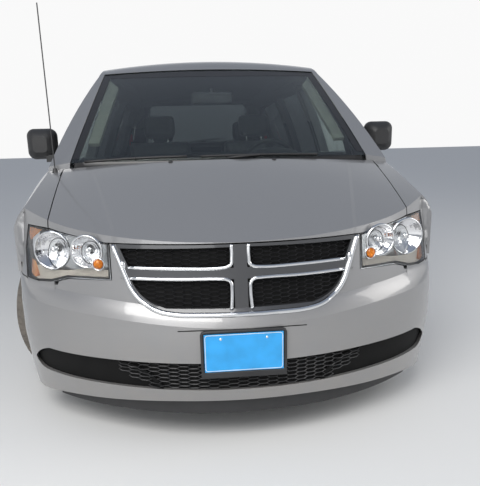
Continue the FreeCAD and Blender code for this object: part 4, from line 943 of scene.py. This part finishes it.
def swollen(mesh, pressure=3.0, cap=0.016):
    """The mesh remeshed and swollen as a cloth bag, with no point moved further than cap."""
    bag = object_of("bag", mesh)
    remesh = add_modifier(bag, "skin", "REMESH", mode="VOXEL", voxel_size=VOXEL)
    fine = evaluated_mesh(bag)
    bag.modifiers.remove(remesh)
    bag.data = fine
    rest = [vert.co.copy() for vert in fine.vertices]
    cloth = bag.modifiers.new("swell", "CLOTH")
    cloth.settings.use_pressure = True
    cloth.settings.uniform_pressure_force = pressure
    cloth.settings.effector_weights.gravity = 0
    cloth.settings.quality = 4
    cloth.point_cache.frame_start, cloth.point_cache.frame_end = 1, CLOTH_FRAMES
    for number in range(1, CLOTH_FRAMES + 1):
        scene.frame_set(number)
    swelled = evaluated_mesh(bag)
    for vert, start in zip(swelled.vertices, rest):
        step = vert.co - start
        if step.length > cap:
            vert.co = start + step * (cap / step.length)
    scene.frame_set(1)
    bpy.data.objects.remove(bag)
    result = bmesh.new()
    result.from_mesh(swelled)
    return result


def pad_mesh(size, crown):
    """A pad of a size in metres, its top crowned and its side bolsters raised, centred on its base."""
    wide, deep, thick = size
    mesh = bmesh.new()
    bmesh.ops.create_cube(mesh, size=1.0)
    bmesh.ops.scale(mesh, vec=(wide, deep, thick), verts=mesh.verts)
    bmesh.ops.bevel(mesh, geom=mesh.edges[:], offset=thick * 0.32, segments=3, profile=0.5, affect="EDGES",
                    material=-1)
    long_edges = [edge for edge in mesh.edges if edge.calc_length() > 0.09]
    bmesh.ops.subdivide_edges(mesh, edges=long_edges, cuts=5, use_grid_fill=True)
    for vert in mesh.verts:
        if vert.co.z > 0:
            share_x, share_y = vert.co.x / wide * 2, vert.co.y / deep * 2
            vert.co.z += crown * (1 - share_y ** 2) * (1 - share_x ** 2)
            vert.co.z += crown * 0.9 * max(0.0, abs(share_x) - BOLSTER_SHARE) / (1 - BOLSTER_SHARE)
    return mesh


def seam_lines(size, crown):
    """A welt along each side bolster."""
    wide, deep, thick = size
    rise = crown * (1 - WELT_SHARE ** 2) + 0.006
    # Shares of the depth, with the height there
    line = [(-0.47, thick * 0.4), (-0.3, thick * 0.5 + rise * 0.7), (0, thick * 0.5 + rise),
            (0.3, thick * 0.5 + rise * 0.7), (0.47, thick * 0.4)]
    welts = []
    for side in (-1, 1):
        x = side * wide * WELT_SHARE / 2
        welts.append(tube_mesh([(x, deep * share, z) for share, z in line], 0.0035))
    return join(*welts)


def placed(mesh, turn, place):
    """The mesh turned and moved to its place."""
    bmesh.ops.transform(mesh, matrix=Matrix.Translation(place) @ turn, verts=mesh.verts)
    return mesh


def seat_post(middle, station, top, side):
    """One of the two rods that hold a head restraint."""
    x = middle + side * 60
    return tube_mesh([at_station(x, station + 590, top - 40), at_station(x, station + 615, top + 60)], 0.006)


for name, middle, station, width, base, top, rest_width in SEAT_ROWS:
    row_node = "front_seats" if name.startswith("front") else "rear_seats"
    wide = (width - SIDE_GAP) / 1000
    back_long = (top - base - BACK_GAP) / 1000
    cushion_place = at_station(middle, station + CUSHION_STEP, base + CUSHION_RISE)
    back_place = at_station(middle, station + BACK_STEP, (base + BACK_FOOT + top) / 2)
    rest_place = at_station(middle, station + REST_STEP, top + REST_RISE)
    rest_size = ((rest_width - REST_GAP) / 1000, REST_DEPTH, REST_THICK)
    shapes = [("cushion", (wide, CUSHION_DEPTH, CUSHION_THICK), CUSHION_TURN, cushion_place, 0.022, 0.7),
              ("back", (wide, back_long, BACK_THICK), BACK_TURN, back_place, 0.02, 0.6)]
    if name != "bench":
        shapes.append(("restraint", rest_size, BACK_TURN, rest_place, 0.008, 0.8))
    for kind, size, turn, place, crown, fill in shapes:
        mesh = pad_mesh(size, crown)
        mesh = swollen(mesh)
        pad = add_piece(name + "_" + kind, placed(mesh, turn, place), "seat_fabric")
        add_modifier(pad, "smooth", "SUBSURF", levels=1, render_levels=1)
        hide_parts(row_node)
        if kind != "restraint":
            welts = placed(seam_lines(size, crown), turn, place)
            add_piece(name + "_" + kind + "_welts", welts, "seat_fabric")
    half = width / 2 - PLINTH_INSET
    plinth = soft_box(at_station(middle - half, station + PLINTH_INSET, PLINTH_FOOT),
                      at_station(middle + half, station + PLINTH_END, base + 60), 0.02)
    shell = soft_box((-wide / 2 + 0.02, -back_long / 2 + 0.03, -0.11),
                     (wide / 2 - 0.02, back_long / 2 - 0.04, -0.045), 0.025, 3)
    shell = placed(shell, BACK_TURN, back_place)
    base_piece = add_piece(name + "_seat_base", join(plinth, shell), "cabin_plastic")
    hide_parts(row_node)
    if name != "bench":
        posts = [seat_post(middle, station, top, side) for side in (-1, 1)]
        add_piece(name + "_posts", join(*posts), "chrome")

# Sides: door handles, mouldings, pillar covers, belt strips, fuel door and mirror faces

shell_skin = surface_of("body_side_left", "front_door_left", "sliding_door_left", "fender_left",
                        "rear_bumper")
glass_skin = surface_of("side_glass", "front_door_glass_left", "front_door_left", "sliding_door_left",
                        "body_side_left")
HANDLE_LINE = [
    # station after the handle's start, height and distance off the door, millimetres
    (0, 905, -4),
    (14, 907, 22),
    (90, 910, 30),
    (166, 912, 22),
    (180, 913, -4),
]


def door_handle(start):
    """A bar handle that stands off the door over a shallow dish."""
    points = []
    for step, z, lift in HANDLE_LINE:
        spot = side_view([(start + step, z)])[0]
        points.append(touch(shell_skin, spot, INWARD_LEFT, lift / 1000))
    return tube_mesh(points, 0.0115)


def handle_recess_shade(start):
    """A near-black oval patch, barely raised, behind the handle's middle: painted shade of the handle's recess."""
    dish = spun([(0.002, 0.001), (0.03, 0.0012), (0.045, 0.0008)], (0, 0, 0), (1, 0, 0), 36)
    bmesh.ops.scale(dish, vec=(1, 1.35, 0.85), verts=dish.verts)
    place = touch(shell_skin, side_view([(start + 90, 910)])[0], INWARD_LEFT)
    bmesh.ops.translate(dish, vec=(0, place.y, place.z), verts=dish.verts)
    lay_on(dish, shell_skin, INWARD_LEFT, 0.0012)
    return dish


def thicken(piece, thickness, edge):
    """Gives a laid patch a wall outward and rounded edges."""
    add_modifier(piece, "wall", "SOLIDIFY", thickness=thickness, offset=1)
    add_modifier(piece, "edge", "BEVEL", width=edge, segments=2)


for stem, station, start, end in (("front_door", 2180, 1425, 2375), ("sliding_door", 2440, 2440, 3430)):
    body = stem if stem == "front_door" else "root"
    add_pair(stem + "_handle", door_handle(station), "body_paint", body)
    # The near-black patch under each handle is painted shade of its recess
    add_pair(stem + "_recess_shade", handle_recess_shade(station), "deep_black", body)
    moulding = side_patch(rectangle(start, end, 560, 612), shell_skin, 0.001, 0.035)
    for strip in add_pair(stem + "_moulding", moulding, "body_paint", body):
        thicken(strip, 0.007, 0.003)

PILLARS = [
    # front and rear stations at the low edge, then at the top, and the body
    (2338, 2396, 2340, 2392, "front_door"),
    (2416, 2484, 2412, 2478, "root"),
    (3384, 3450, 3376, 3438, "root"),
    (3464, 3522, 3452, 3514, "root"),
]
for number, (low_front, low_rear, top_front, top_rear, body) in enumerate(PILLARS, 1):
    outline = [(low_front, 1034), (low_rear, 1034), (top_rear, 1505), (top_front, 1505)]
    add_pair("pillar_cover_%d" % number, side_patch(outline, shell_skin, 0.0012, 0.03), "black_gloss", body)

BELT_STRIPS = [
    # front and rear station, height and body
    (1590, 2330, 1012, "front_door"),
    (2490, 3376, 1017, "root"),
    (3530, 4700, 1020, "root"),
]
for number, (start, end, z, body) in enumerate(BELT_STRIPS, 1):
    points = side_line([(start, z + 10), ((start + end) / 2, z + 12), (end, z + 14)], glass_skin, 0.003)
    add_pair("belt_strip_%d" % number, tube_mesh(points, 0.006), "black_plastic", body)

fuel_door = side_patch(rectangle(3820, 3990, 880, 1000), shell_skin, 0.0005, 0.03)
thicken(add_piece("fuel_door", fuel_door, "body_paint"), 0.0025, 0.001)
# A near-black rod sunk round the fuel door: painted shade of its gap
seam = side_line(rectangle(3817, 3993, 877, 1003), shell_skin, -0.0005)
add_piece("fuel_door_gap_shade", tube_mesh(seam, 0.0018, loop=True), "deep_black")

mirror_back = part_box("mirror_left")[1].y
mirror_middle = Vector((1.037, mirror_back - 0.0055, 1.188))
face = bmesh.new()
bmesh.ops.create_circle(face, cap_ends=True, segments=40, radius=0.07)
upright = Matrix.Diagonal((1.0, 1, 1.02, 1)) @ Matrix.Rotation(math.radians(90), 4, "X")
add_pair("mirror_face", placed(face, upright, mirror_middle), "mirror", "front_door", smooth=False)

# Rear: handle bar, wiper, high stop lamp, glass border, lamp details, reflectors, the bumper groove's painted
# shade line and step pad

tail_skin = surface_of("liftgate", "liftgate_glass", "rear_bumper", "tail_lamps")


def rear_line(points, lift):
    """Points (x, z) in millimetres, carried onto the rear."""
    return laid(rear_view(points), tail_skin, -AHEAD, lift)


BAR = [(-260, 905), (-130, 914), (0, 916), (130, 914), (260, 905)]
REAR_GROOVE = [(-880, 345), (-600, 338), (0, 334), (600, 338), (880, 345)]
add_piece("liftgate_bar", tube_mesh(rear_line(BAR, 0.006), 0.013), "chrome", "liftgate")
wiper_arm = tube_mesh(rear_line([(0, 1095), (40, 1130), (210, 1160)], 0.016), 0.007)
wiper_blade = tube_mesh(rear_line([(-60, 1140), (120, 1152), (330, 1160)], 0.008), 0.005)
wiper_pivot = ball(rear_line([(0, 1095)], 0.008)[0], (0.022, 0.02, 0.022))
add_piece("rear_wiper", join(wiper_arm, wiper_blade, wiper_pivot), "black_plastic", "liftgate")
stop_lamp = rear_patch(rectangle(-150, 150, 1596, 1618), tail_skin, 0.002, 0.02)
add_piece("high_stop_lamp", stop_lamp, "lamp_red", "liftgate")
glass_border = rear_line([(-612, 1128), (612, 1128), (552, 1552), (-552, 1552)], 0.0015)
add_piece("rear_glass_border", tube_mesh(glass_border, 0.008, loop=True), "black_gloss", "liftgate")
rib_lines = [rear_line([(798, z), (860, z + 2), (925, z + 4)], 0.0008) for z in (890, 935, 1095, 1145)]
ribs = [tube_mesh(line, 0.0022) for line in rib_lines]
add_piece("tail_lamp_ribs", mirror_of(join(*ribs)), "black_gloss")
# A near-black rod sunk into the rear bumper: painted shade of its groove
add_piece("rear_bumper_groove", tube_mesh(rear_line(REAR_GROOVE, -0.0025), 0.003), "deep_black")
clear_band = rear_patch([(796, 985), (925, 985), (915, 1050), (796, 1050)], tail_skin, 0.001, 0.02)
add_piece("reversing_lamps", mirror_of(clear_band), "bulb")
reflectors = rear_patch(rectangle(560, 760, 470, 500), tail_skin, 0.002, 0.02)
add_piece("rear_reflectors", mirror_of(reflectors), "lamp_red")
# The step pad's outline, (x, station) seen from above
STEP_PAD = [(-560, 5078), (-300, 5110), (0, 5123), (300, 5110), (560, 5078), (560, 5092), (300, 5124),
            (0, 5138), (-300, 5124), (-560, 5092)]
pad_outline = [at_station(x, station, 2000) for x, station in STEP_PAD]
step_pad = patch(pad_outline, surface_of("rear_bumper"), DOWN, 0.0015, 0.04)
add_piece("bumper_step_pad", step_pad, "black_plastic")

# Wheels: centre caps, nuts, sidewall rings and tread blocks

# The side toward which each wheel's axle points, 1 for left
WHEELS = {"front_left": 1, "front_right": -1, "rear_left": 1, "rear_right": -1}
# Profiles as radius and distance outward along the axle
CAP_PROFILE = [(0.0, 0.088), (0.022, 0.087), (0.03, 0.082), (0.032, 0.07)]
NUT_PROFILE = [(0.0, 0.094), (0.007, 0.093), (0.0105, 0.088), (0.0105, 0.066)]
NUTS, NUT_CIRCLE = 5, 0.057
# Radius and distance from the wheel's middle
SIDEWALL_RINGS = ((0.262, 0.0975), (0.306, 0.1035))
# Blocks round the tyre, and each row's distance from the middle and width
TREAD_BLOCKS, TREAD_RADIUS, BLOCK_LONG, BLOCK_HIGH = 64, 0.3553, 0.027, 0.009
TREAD_ROWS = ((-0.072, 0.026), (-0.036, 0.024), (0.0, 0.026), (0.036, 0.024), (0.072, 0.026))

axles = {}
for joint in frame["joints"]:
    if joint["child"].startswith("wheel_"):
        label = joint["child"][6:]
        axis = Vector(joint["axis"])
        axles[label] = axis * (1 if axis.x * WHEELS[label] > 0 else -1)


def wheel_middle(label):
    """The middle of a tyre's points."""
    tyre = nodes["tyre_" + label]
    points = [tyre.matrix_world @ vert.co for vert in tyre.data.vertices]
    return sum(points, Vector()) / len(points)


def spoke(up, over, share):
    """A direction out from an axle, turned from up toward over by a share of the full turn."""
    angle = math.tau * share
    return up * math.cos(angle) + over * math.sin(angle)


for label in WHEELS:
    body = "wheel_" + label
    middle, axle = wheel_middle(label), axles[label]
    up = (Vector((0, 0, 1)) - axle * axle.z).normalized()
    over = axle.cross(up)
    add_piece("wheel_cap_" + label, spun(CAP_PROFILE, middle, axle, 32), "wheel_metal", body)
    spots = [middle + spoke(up, over, number / NUTS) * NUT_CIRCLE for number in range(NUTS)]
    nuts = [spun(NUT_PROFILE, spot, axle, 6) for spot in spots]
    add_piece("wheel_nuts_" + label, join(*nuts), "chrome", body, smooth=False)
    rings = []
    for side in (-1, 1):
        for radius, reach in SIDEWALL_RINGS:
            low, high = side * reach, side * (reach + 0.0016)
            profile = [(radius - 0.003, low), (radius, high), (radius + 0.003, low)]
            rings.append(spun(profile, middle, axle, 64))
    add_piece("sidewall_rings_" + label, join(*rings), "tyre_rubber", body)
    tread = bmesh.new()
    for row, (offset, wide) in enumerate(TREAD_ROWS):
        block = Matrix.Diagonal((wide, BLOCK_LONG, BLOCK_HIGH, 1))
        for number in range(TREAD_BLOCKS):
            out = spoke(up, over, (number + 0.5 * (row % 2)) / TREAD_BLOCKS)
            turn = Matrix((axle, axle.cross(out), out)).transposed().to_4x4()
            spot = middle + axle * offset + out * TREAD_RADIUS
            bmesh.ops.create_cube(tread, size=1.0, matrix=Matrix.Translation(spot) @ turn @ block)
    piece = add_piece("tread_" + label, tread, "tyre_rubber", body, smooth=False)
    add_modifier(piece, "edge", "BEVEL", width=0.0015, segments=1)
